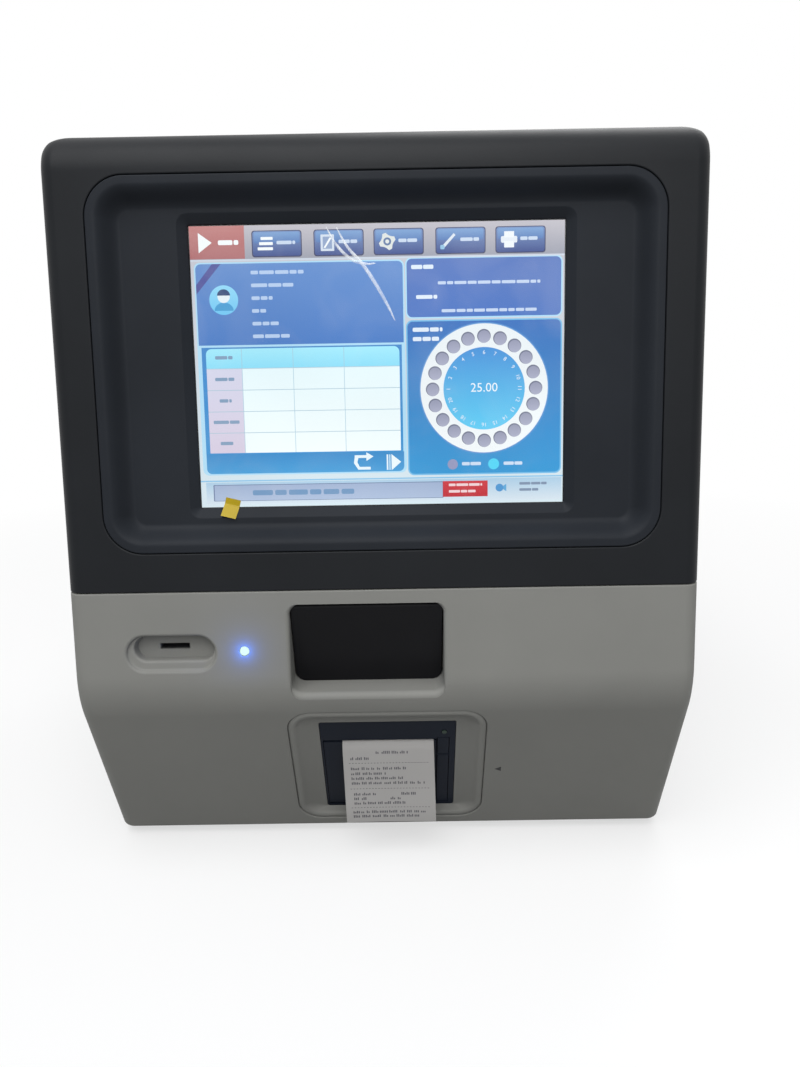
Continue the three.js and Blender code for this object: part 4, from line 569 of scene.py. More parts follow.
for i in range(BACK_VENTS):
    at = (i - (BACK_VENTS - 1) / 2) * VENT_PITCH
    cut(cover, vent(at, DEPTH / 2 - 2 * WALL, DEPTH / 2 + 2 * WALL, BACK_VENT_Z))
cut(cover, split_bead(SEAM_GAP))
dress(cover, "cover_skin", DARK, ("upper_cover",))

# --- dished bezel round the display
half_x, half_z = DISPLAY_W / 2 + WINDOW, DISPLAY_H / 2 + WINDOW
floor_y = -SETBACK + DISH_DEPTH


def window_ring(grow, y, steps=18):
    return ring(half_x + grow, half_z + grow, LIP + grow, y, steps=steps)


bezel_rings = [dish_ring(-EASE * (1 - sin(a * pi / 8)), -SETBACK + EASE * (1 - cos(a * pi / 8)))
               for a in range(4, -1, -1)]
bezel_rings.append(dish_ring(-DISH_RIM + EASE, -SETBACK))
for share in (i / 24 for i in range(25)):
    fall = DISH_DEPTH * (1 - cos(pi * share)) / 2
    bezel_rings.append(dish_ring(-DISH_RIM - DISH_SLOPE * share, -SETBACK + fall))
bezel_back = floor_y + SHEET
bezel_rings += [
    window_ring(BEVEL + 0.6, floor_y), window_ring(BEVEL, floor_y + 0.15), window_ring(0.3, -GAP - LIP - 0.1),
    window_ring(0, -GAP - LIP + 0.2), window_ring(0, -GAP), window_ring(OVERLAP + GAP, -GAP),
    window_ring(OVERLAP + SHEET, bezel_back), dish_ring(-DISH_RIM - DISH_SLOPE, bezel_back),
    dish_ring(-REBATE - GAP, -SETBACK + EDGE), dish_ring(0, -SETBACK + EDGE),
]
bezel = skin(bezel_rings, ON_SCREEN, True)
dress(bezel, "screen_bezel_skin", DISH, ("screen_bezel",), angle=50)


# --- light lower front
def drop(value):
    """A height measured down from the seam, in the screen's frame."""
    return -ABOVE - value


def ledge_line(y):
    """The height of the inlet's ledge at a depth, in the screen's frame."""
    return (LEDGE - DISPLAY_Z + y * sin(LEAN)) / cos(LEAN)


def two_way(upper, lower):
    """The upper half of one ring over the lower half of another."""
    half = len(upper) // 2
    return upper[:half] + lower[half:]


def inlet_ring(y, side, base, grow=0.0):
    """The inlet's outline at a depth: tighter corners above than at the ledge."""
    top, bottom = drop(INLET_DROP) + grow, ledge_line(y) - base - grow
    return two_way(*(ring(INLET_W / 2 - SIDE_INSET + side + grow, (top - bottom) / 2, r + grow, y, INLET_X,
                          (top + bottom) / 2, 14) for r in (TOP_CORNER, FOOT_CORNER)))


def flare(radius, depth):
    """How far a round mouth still stands open at a depth."""
    return drawn_in(radius - depth, radius)


def deeper(reach, steps):
    """Depths down to a reach, closer together where a round mouth turns fastest."""
    return [reach * (i / steps) ** 1.6 for i in range(steps + 1)]


inlet_back = -SETBACK + INLET_DEPTH
lip_open = LIP_R + 0.6
inlet_rings = [inlet_ring(-SETBACK - OVER, SIDE_FLARE, lip_open)]
inlet_rings += [inlet_ring(-SETBACK + depth, flare(SIDE_FLARE, depth), lip_open)
                for depth in deeper(LIP_START, 8)]
inlet_rings += [inlet_ring(-SETBACK + depth, flare(SIDE_FLARE, depth), flare(LIP_R, depth - LIP_START))
                for depth in (LIP_START + more for more in deeper(LIP_R, 16))]
inlet_rings.append(inlet_ring(inlet_back + OVER, 0, 0))


def card_ring(y, top, bottom, inset, grow=0.0, aside=0.0):
    """The card recess's outline at a depth, drawn in from its top, bottom and ends."""
    middle = drop(CARD_DROP)
    high, low = middle + CARD_H / 2 - top + grow, middle - CARD_H / 2 + bottom - grow
    half = (high - low) / 2
    return ring(CARD_W / 2 - inset + grow, half, half, y, CARD_X + aside, (high + low) / 2, 16)


card_floor = -SETBACK + CARD_DEPTH
card_rings = [card_ring(-SETBACK - OVER, 0, 0, 0, 1)]
card_rings += [card_ring(-SETBACK + depth, depth, depth, depth, flare(CARD_EDGE, depth))
               for depth in deeper(CARD_EDGE, 6)]
# A shallow band, a step and the sloped floor: depth, how far in from the top, bottom and ends, and aside
for depth, top, bottom, inset, aside in (
    (1.6, 0.9, 1.1, 0.9, 0), (2.1, 1.0, 1.5, 1.2, 0.1), (2.3, 1.0, 2.2, 1.6, 0.3), (2.35, 1.1, 4.9, 2.6, 1.1),
    (2.6, 1.1, 5.7, 3.0, 1.3), (3.2, 1.2, 6.3, 3.2, 1.45), (4.2, 1.3, 6.6, 3.3, 1.5),
    (CARD_DEPTH, 2, 7, 3.6, 1.6),
):
    card_rings.append(card_ring(-SETBACK + depth, top, bottom, inset, aside=aside))

fascia = cut(casing(high=SEAM - SEAM_GAP / 2), inner)
sides = common(copy_of(fascia), slab(y0=SPLIT_Y + SEAM_GAP))
common(fascia, slab(y1=SPLIT_Y))
bay_mouth = eased_mouth(lambda grow, y: bay_ring(SEAM_GAP + grow, y), 0, EASE)
cut(fascia, skin(bay_mouth + [bay_ring(SEAM_GAP, OVER)], ON_LOWER))
inlet_wall, open_y = WALL + SIDE_INSET, -SETBACK - OVER
pockets = [
    skin([inlet_ring(y, 0, 0, inlet_wall) for y in (open_y, inlet_back)], ON_SCREEN),
    skin([card_ring(y, 0, 0, 0, WALL) for y in (open_y, card_floor + WALL)], ON_SCREEN),
    rebate(bay_ring, WALL / 2, EDGE + GAP, ON_LOWER),
]
for pocket in pockets:
    common(pocket, copy_of(outer_full), slab(y1=SPLIT_Y, z1=SEAM - SEAM_GAP / 2 - EASE))
join(fascia, *pockets)
flap_hinge = ON_SCREEN @ Vector((INLET_X, -SETBACK + FLAP_SETBACK + BARREL, drop(INLET_DROP) - BARREL - GAP))
slot_z, lamp_z = drop(CARD_DROP) + CARD_SLOT_RISE, drop(LAMP_DROP)
floor_top = FOOT + WALL


def bar_x(radius, x0, x1, y=0, z=0, sides=28, matrix=None):
    """A round bar along X."""
    return prism_x(circle(y, z, radius, sides), x0, x1, matrix)


def underside():
    """A cutter for the opening that the base tray closes."""
    margin = WALL + TRAY_LIP
    return span(-WIDTH / 2 + margin, WIDTH / 2 - margin, front_y(floor_top, 0) + margin,
                DEPTH / 2 - margin, -OVER, floor_top + GAP / 2)


slot_rings = [ring(CARD_SLOT_W / 2 + grow, CARD_SLOT_H / 2 + grow, 0.5, card_floor + y, CARD_X, slot_z, 4)
              for grow, y in ((0.5, -1), (0.5, 0), (0, 0.5), (0, OVER))]
lamp_hole_rings = [circle_y(LAMP_R + GAP + grow, LAMP_X, -SETBACK + y, lamp_z)
                   for grow, y in ((0.5, -OVER), (0.5, 0), (0.15, 0.15), (0, 0.5), (0, OVER))]
swing_half = INLET_W / 2 - SIDE_INSET
pin_end = INLET_W / 2 + PIN_REACH
cut(
    fascia,
    skin(inlet_rings, ON_SCREEN),
    span(INLET_X - swing_half, INLET_X + swing_half, -SETBACK + FLAP_SETBACK, inlet_back + OVER,
         drop(INLET_DROP) - INLET_R - BARREL, drop(INLET_DROP), ON_SCREEN),
    skin(card_rings, ON_SCREEN),
    skin(slot_rings, ON_SCREEN),
    skin(lamp_hole_rings, ON_SCREEN),
    bar_x(PIN_R + GAP, INLET_X - pin_end - GAP, INLET_X + pin_end + GAP, flap_hinge.y, flap_hinge.z, 24),
    underside(),
)
dress(fascia, "fascia_skin", LIGHT, ("lower_fascia",), angle=40)

# --- side panels
rear_open_x = WIDTH / 2 - REAR_POST
cut(sides, underside(),
    span(-rear_open_x, rear_open_x, DEPTH / 2 - WALL - OVER, DEPTH / 2 + OVER,
         floor_top + TRAY_LIP, SEAM),
    slab(-SEAM_GAP / 2, SEAM_GAP / 2))
for i in range(SIDE_VENTS):
    for x in (-WIDTH / 2, WIDTH / 2):
        cut(sides, vent(SIDE_VENT_Y - i * VENT_PITCH, x - 2 * WALL, x + 2 * WALL, SIDE_VENT_Z, sideways=True))
for name, low, high in (("left_side", -WIDTH, 0), ("right_side", 0, WIDTH)):
    half = common(copy_of(sides), slab(low, high))
    dress(half, name + "_skin", LIGHT, (name + "_panel",))
for used in (sides, outer_full):
    bpy.data.objects.remove(used)

# --- printer surround: a bead round its rim, then a slope in to the printer's face
opening = PRINTER / 2 + SEAM_GAP


def opening_ring(y):
    return ring(opening, opening, FACE_R, y, BAY_X, -PRINTER_DROP, 14)


surround = [bay_ring(-BAY_RIM * i / 12, RIM_FALL * (i / 6 - 1) ** 2) for i in range(13)]
for share in (i / 16 for i in range(1, 17)):
    depth = RIM_FALL + (BAY_DEPTH - RIM_FALL) * sin(share * pi / 2) ** 0.8
    surround.append([(u + (x - u) * share, depth, v + (z - v) * share)
                     for (u, _, v), (x, _, z) in zip(bay_ring(-BAY_RIM, 0), opening_ring(0))])
surround += [opening_ring(BAY_DEPTH + PLATE), bay_ring(-REBATE - GAP, EDGE), bay_ring(0, EDGE)]
surround = skin(surround, ON_LOWER, True)
dress(surround, "printer_surround_skin", LIGHT, ("printer_surround",), angle=50)

# --- inlet flap
flap_length = (flap_hinge.z - LEDGE - GAP) / cos(FLAP_LEAN) - FLAP_T / 2 * tan(FLAP_LEAN)
flap_half = FLAP_W / 2 - SIDE_INSET
ON_FLAP = Matrix.Translation(flap_hinge) @ Matrix.Rotation(FLAP_LEAN, 4, "X")


def flap_ring(inset, y):
    """The flap's outline: nearly square at its hinge, round at its foot."""
    return two_way(*(ring(flap_half - inset, flap_length / 2 - inset, r - inset, y, 0, -flap_length / 2, 14)
                     for r in (2, FOOT_CORNER)))


flap = skin([flap_ring(inset, -BARREL + y) for inset, y in (
    (0.5, 0), (0.15, 0.15), (0, 0.5), (0, FLAP_T - 0.4), (0.4, FLAP_T))], ON_FLAP)
for radius, reach in ((BARREL, flap_half - INLET_R), (BARREL - GAP, flap_half - GAP), (PIN_R, pin_end)):
    join(flap, bar_x(radius, -reach, reach, matrix=ON_FLAP))
dress(flap, "inlet_flap_skin", BLACK, ("inlet_flap",), "flap")

# --- lamp, feet, film and pull tab
dome = [(LAMP_R * sin(a * pi / 20), -LAMP_DOME * cos(a * pi / 20)) for a in range(1, 11)]
flange = [(LAMP_R, WALL + GAP), (LAMP_R * 1.5, WALL + GAP), (LAMP_R * 1.5, WALL + 2 * LAMP_R)]
lens = [circle_y(radius, LAMP_X, -SETBACK + depth, lamp_z, 40) for radius, depth in dome + flange]
dress(skin(lens, ON_SCREEN), "status_lens", LENS, ("status_lamp",))

# Radius and height up a foot, from its tread to its neck
FOOT_PROFILE = ((9.2, 0), (10.0, 0.15), (10.6, 0.5), (10.9, 1.1), (11, 1.7), (11, 4.6), (10.8, 5.2),
                (10.2, 5.7), (9.4, 6), (7.7, 6), (7.7, 8.8))
for name, x, y in (("front_left", -150, -105), ("front_right", 150, -105), ("rear_left", -150, 145),
                   ("rear_right", 150, 145)):
    rings = [[(u, v, z) for u, v in circle(x, y, r, 48)] for r, z in FOOT_PROFILE]
    dress(skin(rings), "foot_" + name + "_rubber", RUBBER, ("foot_" + name,))

film_rings = [ring(half_x - GAP / 2, half_z - GAP / 2, LIP, y, steps=4) for y in (FILM_FACE, FILM_FACE + GAP)]
dress(skin(film_rings, ON_SCREEN), "screen_film_skin", FILM, ("screen_film",))


def smooth_line(line, steps=6):
    """A curve through all the points of a line."""
    curve = []
    for i in range(len(line) - 1):
        near = [line[min(max(k, 0), len(line) - 1)] for k in (i - 1, i, i + 1, i + 2)]
        for t in (step / steps for step in range(steps)):
            curve.append([0.5 * (2 * b + (c - a) * t + (2 * a - 5 * b + 4 * c - d) * t * t
                                 + (3 * b - a - 3 * c + d) * t ** 3) for a, b, c, d in zip(*near)])
    return curve + [line[-1]]


def crease(name, line, width):
    """A raised crease that runs along a line on the film, tapered to nothing at both ends, with painted glare
    for its colour.
    """
    points, faces = [], []
    curve = smooth_line(line)
    face = FILM_FACE - 0.01
    for i, (x, z) in enumerate(curve):
        half = width / 2 * max(sin(pi * i / (len(curve) - 1)) ** 0.6, 0.04)
        nx, nz = (part * half for part in beside(curve, i))
        points += [(x - nx, face, z - nz), (x, face - half * 0.35, z), (x + nx, face, z + nz)]
        if i:
            a = 3 * i - 3
            faces += [(a, a + 1, a + 4, a + 3), (a + 1, a + 2, a + 5, a + 4)]
    dress(build(points, faces, ON_SCREEN), name, CREASE_GLARE, angle=80)


# Two raised creases; their whitish colour is painted glare
crease("film_crease_glare_long", [(-23, 78), (-17, 67), (-8, 56.5), (-0.5, 45), (5.5, 34), (9.5, 25.5)], 2.0)
crease("film_crease_glare_short", [(-28.5, 78), (-23, 68), (-15, 60), (-7, 57.2), (-1, 57.4)], 1.7)

tab_bend = -half_z - TAB_Z + TAB_BEND
tab_slope = (DISH_DEPTH - SETBACK + GAP + LIP) / BEVEL
ON_TAB = ON_SCREEN @ Matrix.Translation((TAB_X, TAB_FACE, TAB_Z)) @ Matrix.Rotation(TAB_TURN, 4, "Y")
tab_line = [(0, TAB_H / 2), (0, tab_bend + 1), (0.02, tab_bend + 0.4), (0.15 * tab_slope, tab_bend - 0.3),
            ((tab_bend + TAB_H / 2) * tab_slope, -TAB_H / 2)]
tab_outline = tab_line + [(y - TAB_T, z) for y, z in reversed(tab_line)]
tab = prism_x(tab_outline, -TAB_W / 2, TAB_W / 2, ON_TAB)
dress(tab, "film_tab_skin", YELLOW, ("film_tab",), angle=60)

# --- picture on the display: flat tinted shapes just off the glass, in millimetres from its middle
GUI_FACE, GUI_STEP, FIGURE_HEIGHT = -0.02, 0.018, 0.7
WORD_SHORT, WORD_LONG, WORD_HEIGHT = 3.0, 7.5, 1.6
gui_points, gui_faces, gui_tints = [], [], []
WHITE_TINT, FRAME_TINT, HEAD_TINT, TEXT_TINT, NOTE_TINT = (
    (246, 252, 254), (176, 222, 246), (224, 236, 248), (196, 214, 240), (206, 224, 244))


def gui_depth(level):
    """How far off the glass a level of the picture lies."""
    return GUI_FACE - GUI_STEP * level


def tinted(outline, level, tint):
    """A flat shape on the display. The tint is one colour, or a pair from its top to its bottom."""
    start = len(gui_points)
    gui_points.extend((x, gui_depth(level), z) for x, z in outline)
    gui_faces.append(tuple(range(start, start + len(outline))))
    top, bottom = tint if isinstance(tint[0], tuple) else (tint, tint)
    z_high, z_low = max(z for _, z in outline), min(z for _, z in outline)
    for _, z in outline:
        share = (z_high - z) / max(z_high - z_low, 1e-6)
        gui_tints.append([p + (q - p) * share for p, q in zip(linear(top), linear(bottom))] + [1])


def box(x0, x1, z0, z1, level, tint, radius=0.0, corners=(1, 1, 1, 1)):
    """A rectangle. Its corners are rounded from the upper right on, anticlockwise."""
    points = []
    for k, (x, z, sx, sz) in enumerate(((x1, z1, -1, -1), (x0, z1, 1, -1), (x0, z0, 1, 1), (x1, z0, -1, 1))):
        rounded = radius and corners[k]
        points += arc(x + sx * radius, z + sz * radius, radius, k, k + 1, 6) if rounded else [(x, z)]
    tinted(points, level, tint)


def panel(x0, x1, z0, z1, edge, fill):
    """A framed panel."""
    box(x0, x1, z0, z1, 1, edge, 3.6)
    box(x0 + 0.8, x1 - 0.8, z0 + 0.8, z1 - 0.8, 2, fill, 3.0)


def disc(x, z, radius, level, tint, sides=28):
    tinted(circle(x, z, radius, sides), level, tint)


def digits(text, x, z, height, level, tint, turn=0.0):
    """Plain numbers, centred on a point and turned about it."""
    curve = bpy.data.curves.new("digits", "FONT")
    curve.body, curve.align_x, curve.align_y, curve.resolution_u = text, "CENTER", "CENTER", 3
    maker = new_object("digits", curve)
    drawn = evaluated_mesh(maker)
    start, size = len(gui_points), height / FIGURE_HEIGHT
    for u, v, _ in (corner.co for corner in drawn.vertices):
        gui_points.append((x + size * (u * cos(turn) - v * sin(turn)), gui_depth(level),
                           z + size * (u * sin(turn) + v * cos(turn))))
        gui_tints.append(list(linear(tint)) + [1])
    gui_faces.extend(tuple(start + i for i in face.vertices) for face in drawn.polygons)
    bpy.data.objects.remove(maker)
    bpy.data.meshes.remove(drawn)


def bars(x, z, lengths, height, level, tint, gap, pitch=0.0):
    """Rows of short rounded dashes that stand for lines of reading matter."""
    size = height / WORD_HEIGHT
    for row, length in enumerate(lengths):
        at, top = x, z - row * pitch
        while at < x + length - 1:
            word = min(random.uniform(WORD_SHORT, WORD_LONG) * size, x + length - at)
            box(at, at + word, top - height, top, level, tint, height * 0.3)
            at += word + gap * size


def list_icon(x, z):
    for i in range(3):
        box(x - 4.4 + i * 0.9, x + 4.2, z - 3.6 + i * 2.8, z - 2.0 + i * 2.8, 5, WHITE_TINT, 0.3)


def page_icon(x, z):
    box(x - 3.8, x + 3.8, z - 4.6, z + 4.4, 5, (214, 226, 240), 0.4)
    box(x - 2.6, x + 2.6, z - 3.4, z + 3.2, 6, (150, 170, 204), 0.3)
    tinted([(x - 2.2, z - 2.8), (x - 1.2, z - 3.0), (x + 2.4, z + 2.4), (x + 1.4, z + 2.8)], 7, WHITE_TINT)


def gear_icon(x, z):
    angles = [2 * pi * (i + 0.5) / 16 for i in range(16)]
    radii = [4.8, 4.8, 3.5, 3.5] * 4
    tinted([(x + r * cos(a), z + r * sin(a)) for a, r in zip(angles, radii)], 5, (222, 228, 226))
    disc(x, z, 2.2, 6, (104, 128, 168), 40)
    disc(x, z, 1.1, 7, (226, 232, 230), 40)


def tube_icon(x, z):
    tinted([(x - 4.2, z - 3.2), (x - 3.2, z - 4.4), (x + 3.6, z + 2.8), (x + 2.6, z + 3.9)], 5,
           (222, 232, 240))
    box(x - 5.0, x - 2.6, z - 4.8, z - 2.4, 6, (150, 196, 226), 0.6)


def printer_icon(x, z):
    box(x - 4.6, x + 4.6, z - 1.8, z + 1.8, 5, (228, 236, 244), 0.8)
    for low, high in ((1.0, 4.4), (-4.4, -0.8)):
        box(x - 2.8, x + 2.8, z + low, z + high, 6, (240, 246, 250), 0.3)


# Top bar: a red key with a triangle, then five keys with an icon each
wide, high, KEY_W = DISPLAY_W / 2, DISPLAY_H / 2, 27.2
box(-wide, wide, -high, high, 0, ((196, 196, 206), (214, 232, 240)))
box(-wide, wide, 61, high, 1, ((196, 194, 202), (160, 163, 176)))
box(-wide, wide, 60, 61, 2, (205, 215, 228))
box(-wide, -74.6, 61.2, high, 3, ((196, 132, 130), (176, 112, 114)))
tinted([(-100.6, 75.6), (-100.6, 64.6), (-93, 70.1)], 4, WHITE_TINT)
bars(-89.5, 71.4, [11.5], 2.6, 4, WHITE_TINT, 0.4)
for x, icon in ((-70.0, list_icon), (-35.1, page_icon), (-1.4, gear_icon), (33.4, tube_icon),
                (67.1, printer_icon)):
    box(x - 0.5, x + KEY_W + 0.5, 61.8, 76.3, 2, (70, 74, 104), 1.6)
    box(x, x + KEY_W, 62.4, 75.9, 3, ((126, 152, 198), (74, 90, 146)), 1.4)
    box(x + 0.8, x + KEY_W - 0.8, 69.4, 75.3, 4, ((132, 168, 214), (98, 132, 188)), 1.0)
    icon(x + 7.2, 69.2)
    bars(x + 13.5, 70.6, [10.5], 1.9, 5, (204, 220, 240), 0.35)

# Record panel at the left: picture disc with a plain figure, rows beside it and a table under them
box(-103.8, 15.0, -60.6, 59.4, 1, FRAME_TINT, 3.4)
box(-103.0, 14.2, 13.6, 58.6, 2, ((104, 146, 208), (76, 126, 198)), 3.0, (1, 1, 0, 0))
tinted([(-103, 47.0), (-103, 42.0), (-88.5, 58.6), (-93.5, 58.6)], 3, (84, 88, 158))
disc(-87.6, 38.7, 8.2, 3, ((150, 220, 250), (110, 200, 245)), 48)
tinted(arc(-87.6, 32.8, 5.4, 0, 2, 14, rise=4.6 / 5.4), 4, (70, 160, 214))
disc(-87.6, 40.6, 3.5, 5, (232, 244, 250), 30)
tinted(arc(-87.6, 41.2, 3.7, 0, 2, 12, rise=3.5 / 3.7), 6, (52, 78, 124))
bars(-71.8, 54.6, [30, 24, 12, 8, 15, 21], 2.0, 3, (184, 208, 240), 0.5, 7.05)
box(-101.6, 13.0, -48.6, 12.4, 2, ((72, 140, 206), (52, 146, 210)))
box(-101.6, 13.4, -59.8, -48.4, 2, ((58, 140, 202), (70, 158, 216)), 3.0, (0, 0, 1, 1))
TABLE_LEFT, TABLE_RIGHT, TABLE_TOP, TABLE_FOOT, ROW_H = -99.2, 11.6, 11.6, -47.8, 12.2
box(TABLE_LEFT, TABLE_RIGHT, 0.6, TABLE_TOP, 3, ((166, 236, 253), (142, 224, 250)), 3.2, (1, 1, 0, 0))
box(TABLE_LEFT, TABLE_RIGHT, TABLE_FOOT, 0.6, 3, ((232, 250, 254), (244, 254, 255)))
box(TABLE_LEFT, -78.8, TABLE_FOOT, 0.2, 4, ((214, 216, 236), (216, 206, 226)))
for z in (0.4 - row * ROW_H for row in range(4)):
    box(TABLE_LEFT, TABLE_RIGHT, z - 0.18, z + 0.18, 5, (170, 200, 216))
for x in (-78.8, -49.4, -20.2):
    box(x - 0.16, x + 0.16, TABLE_FOOT, TABLE_TOP, 5, (168, 204, 222))
for row, length in enumerate((10, 11, 7, 15, 8)):
    bars(-89 - length / 2, 7.6 - row * ROW_H, [length], 1.9, 6, (132, 160, 190), 0.4)

# Its two arrows
tinted([(-15.4, -51.4), (-15.4, -50.2), (-8.6, -50.2), (-8.6, -48.6), (-4.4, -51.0), (-8.6, -53.6),
        (-8.6, -51.8), (-13.2, -51.8), (-13.9, -54.2), (-12.6, -57.0), (-6.2, -57.0), (-6.2, -58.6),
        (-13.4, -58.6), (-15.9, -54.8)], 4, (232, 246, 252))
box(3.2, 4.1, -59.0, -50.0, 4, (232, 246, 252))
box(4.7, 5.4, -59.0, -50.0, 4, (200, 232, 250))
tinted([(6.0, -49.8), (6.0, -59.2), (11.6, -54.4)], 4, (236, 248, 252))

# Message panel and carousel panel at the right
panel(15.6, 104.6, 26.6, 60.4, FRAME_TINT, ((96, 126, 192), (76, 118, 194)))
bars(19.0, 56.2, [13], 2.3, 3, HEAD_TINT, 0.3)
bars(34.0, 47.0, [58], 1.7, 3, TEXT_TINT, 0.6)
bars(21.6, 39.6, [12], 2.1, 3, HEAD_TINT, 0.4)
bars(36.0, 31.6, [54], 1.7, 3, TEXT_TINT, 0.6)
panel(15.6, 104.6, -62.4, 25.8, (120, 190, 232), ((62, 116, 190), (52, 152, 212)))
bars(19.4, 21.6, [17, 15], 2.3, 3, HEAD_TINT, 0.4, 5.2)
RING_X, RING_Z, RING_R, DIAL_R, PLACES_R, NUMBERS_R, PLACES = 60.0, -13.2, 36.6, 23.4, 29.6, 20.4, 20
disc(RING_X, RING_Z, RING_R + 0.7, 3, (96, 152, 212), 72)
disc(RING_X, RING_Z, RING_R, 4, ((232, 240, 244), (244, 250, 252)), 72)
disc(RING_X, RING_Z, DIAL_R, 5, ((74, 146, 216), (96, 206, 246)), 72)
for x, z in circle(RING_X, RING_Z, PLACES_R, PLACES):
    disc(x, z, 3.9, 5, (112, 118, 140))
    disc(x + 0.15, z - 0.35, 3.5, 6, ((150, 154, 178), (172, 176, 200)))
for i in range(PLACES):
    a = pi - 2 * pi * i / PLACES
    digits(str(i + 1), RING_X + NUMBERS_R * cos(a), RING_Z + NUMBERS_R * sin(a), 2.2, 6, (228, 240, 250),
           a - pi / 2)
digits("25.00", RING_X, RING_Z + 0.4, 5.0, 6, (236, 246, 252))
disc(41.6, -56.4, 3.0, 3, (150, 154, 190))
bars(47.0, -55.2, [11], 1.9, 3, NOTE_TINT, 0.3)
disc(65.4, -56.5, 3.2, 3, (84, 214, 246))
bars(71.2, -55.3, [12], 1.9, 3, NOTE_TINT, 0.3)

# Status line along the bottom
box(-wide, wide, -64.4, -63.6, 3, (140, 196, 232))
box(-102.6, 104.8, -77.6, -64.8, 1, ((170, 204, 228), (214, 228, 238)))
box(-98.4, 36.0, -75.8, -66.2, 2, (104, 122, 160), 0.5)
box(-97.8, 35.6, -75.5, -66.6, 3, ((160, 178, 208), (172, 190, 218)), 0.4)
bars(-75.5, -69.6, [60], 3.0, 4, (112, 150, 190), 0.7)
box(35.7, 61.9, -75.3, -66.1, 4, ((206, 58, 66), (190, 44, 54)))
bars(39.2, -67.6, [19.5, 17], 1.5, 5, (240, 210, 214), 0.5, 3.8)
disc(68.8, -70.4, 2.3, 3, (78, 150, 208), 20)
tinted([(71.0, -69.4), (72.8, -68.2), (72.8, -72.6), (71.0, -71.4)], 3, (96, 168, 216))
bars(80.4, -67.4, [16.5, 12], 1.5, 3, (128, 146, 172), 0.4, 3.6)

picture_mesh = bpy.data.meshes.new("screen_picture")
picture_mesh.from_pydata([ON_SCREEN @ Vector(p) * MM for p in gui_points], [], gui_faces)
tint_layer = picture_mesh.color_attributes.new("tint", "FLOAT_COLOR", "POINT")
tint_layer.data.foreach_set("color", [c for tint in gui_tints for c in tint])
picture_mesh.materials.append(SCREEN)
picture = new_object("screen_picture", picture_mesh)
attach(picture, "housing")

# --- receipt: out over the door's edge, then hanging with a slight curl
STRIP_START, STRIP_Z, STRIP_FRONT = 2.8, DOOR_TOP + GAP, -2.2
# Y and Z down its middle, and the length so far at each of these places
lead = [(STRIP_START, STRIP_Z), (0.6, STRIP_Z + 0.05), (-0.5, STRIP_Z - 0.05), (-1.3, STRIP_Z - 0.5),
        (-1.9, STRIP_Z - 1.3)]
for share in (i / 24 for i in range(1, 25)):
    sway = sin(share * pi * 0.9) + 0.3 * sin(share * 9)
    hang = PAPER_HANG * share
    lead.append((STRIP_FRONT - sin(UNDER) * hang - sway, STRIP_Z - cos(UNDER) * hang))
lengths = [0.0]
for (y0, z0), (y1, z1) in zip(lead, lead[1:]):
    lengths.append(lengths[-1] + hypot(y1 - y0, z1 - z0))


def on_strip(u, v, lift=0.0):
    """A place on the receipt: u across from its middle, v down from the slot, lifted off its face."""
    v = max(v + SLOT_LEAD, 0)
    k = max(i for i in range(len(lengths) - 1) if lengths[i] <= v)
    away = lengths[k + 1] - lengths[k]
    t = (v - lengths[k]) / away
    (y0, z0), (y1, z1) = lead[k], lead[k + 1]
    hang = max(v - CURL_START, 0) / PAPER_HANG
    out = (lift + STRIP_CURL * hang * (2 * u / PAPER_W) ** 2) / away
    return (u + PAPER_SKEW * hang, y0 + (y1 - y0) * t + (z1 - z0) * out, z0 + (z1 - z0) * t - (y1 - y0) * out)


across = [PAPER_W * (j / 16 - 0.5) for j in range(17)]
strip_rings = [[on_strip(u, v, PAPER_T) for u in across] + [on_strip(u, v) for u in reversed(across)]
               for v in (length - SLOT_LEAD for length in lengths)]
strip = skin(strip_rings, ON_PRINTER)
# The receipt's grey is white paper darkened by painted shade
dress(strip, "receipt_paper", SHADED_PAPER, ("paper_strip",), "door", angle=60)

CLUMP_SHORT, CLUMP_LONG, CLUMP_GAP = 1.6, 6.0, 1.0
ink_points, ink_faces = [], []


def dash(u0, u1, v0, v1):
    """A printed dash on the receipt that follows its curl."""
    pieces = max(1, ceil((u1 - u0) / 3))
    start = len(ink_points)
    for i in range(pieces + 1):
        u = u0 + (u1 - u0) * i / pieces
        ink_points.extend((on_strip(u, v0, PRINT_LIFT), on_strip(u, v1, PRINT_LIFT)))
        if i:
            a = start + 2 * i
            ink_faces.append((a - 2, a, a + 1, a - 1))


def print_row(u, v, length, height=1.9):
    """A row of strokes in clumps, as small print looks from a step away."""
    at = u
    while at < u + length - 0.6:
        word = min(random.uniform(CLUMP_SHORT, CLUMP_LONG), u + length - at)
        for stroke in range(max(1, round(word / STROKE_PITCH))):
            low = random.choice((0, 0.35, 0.15))
            left = at + stroke * STROKE_PITCH
            dash(left, left + STROKE_W, v + low * height, v + height)
        at += word + CLUMP_GAP


# Each row's place across and down, and its length
for u, v, length in ((-8, 5.4, 20), (-24, 9.4, 12), (-24, 16.4, 36), (-24, 20.0, 22), (-24, 23.4, 33),
                     (-24, 26.8, 46), (-23, 34.6, 14), (7, 34.6, 9), (-23, 37.8, 8), (0, 37.8, 7),
                     (-23, 41.0, 33), (-24, 47.4, 46), (-24, 50.6, 42)):
    print_row(u, v, length)
for v in (13.4, 31.6, 45.0):
    for i in range(26):
        dash(-25 + i * 1.95, -24 + i * 1.95, v, v + 0.35)
dress(build(ink_points, ink_faces, ON_PRINTER), "receipt_print", INK, body="door", angle=80)

# --- small printed triangle on the lower front
MARK_FACE = -0.02
mark = [(u, MARK_FACE, v) for u, v in ((67.6, -68.2), (71.8, -66.0), (71.8, -70.4))]
dress(build(mark, [(0, 1, 2)], ON_LOWER), "printed_mark", BADGE, angle=80)

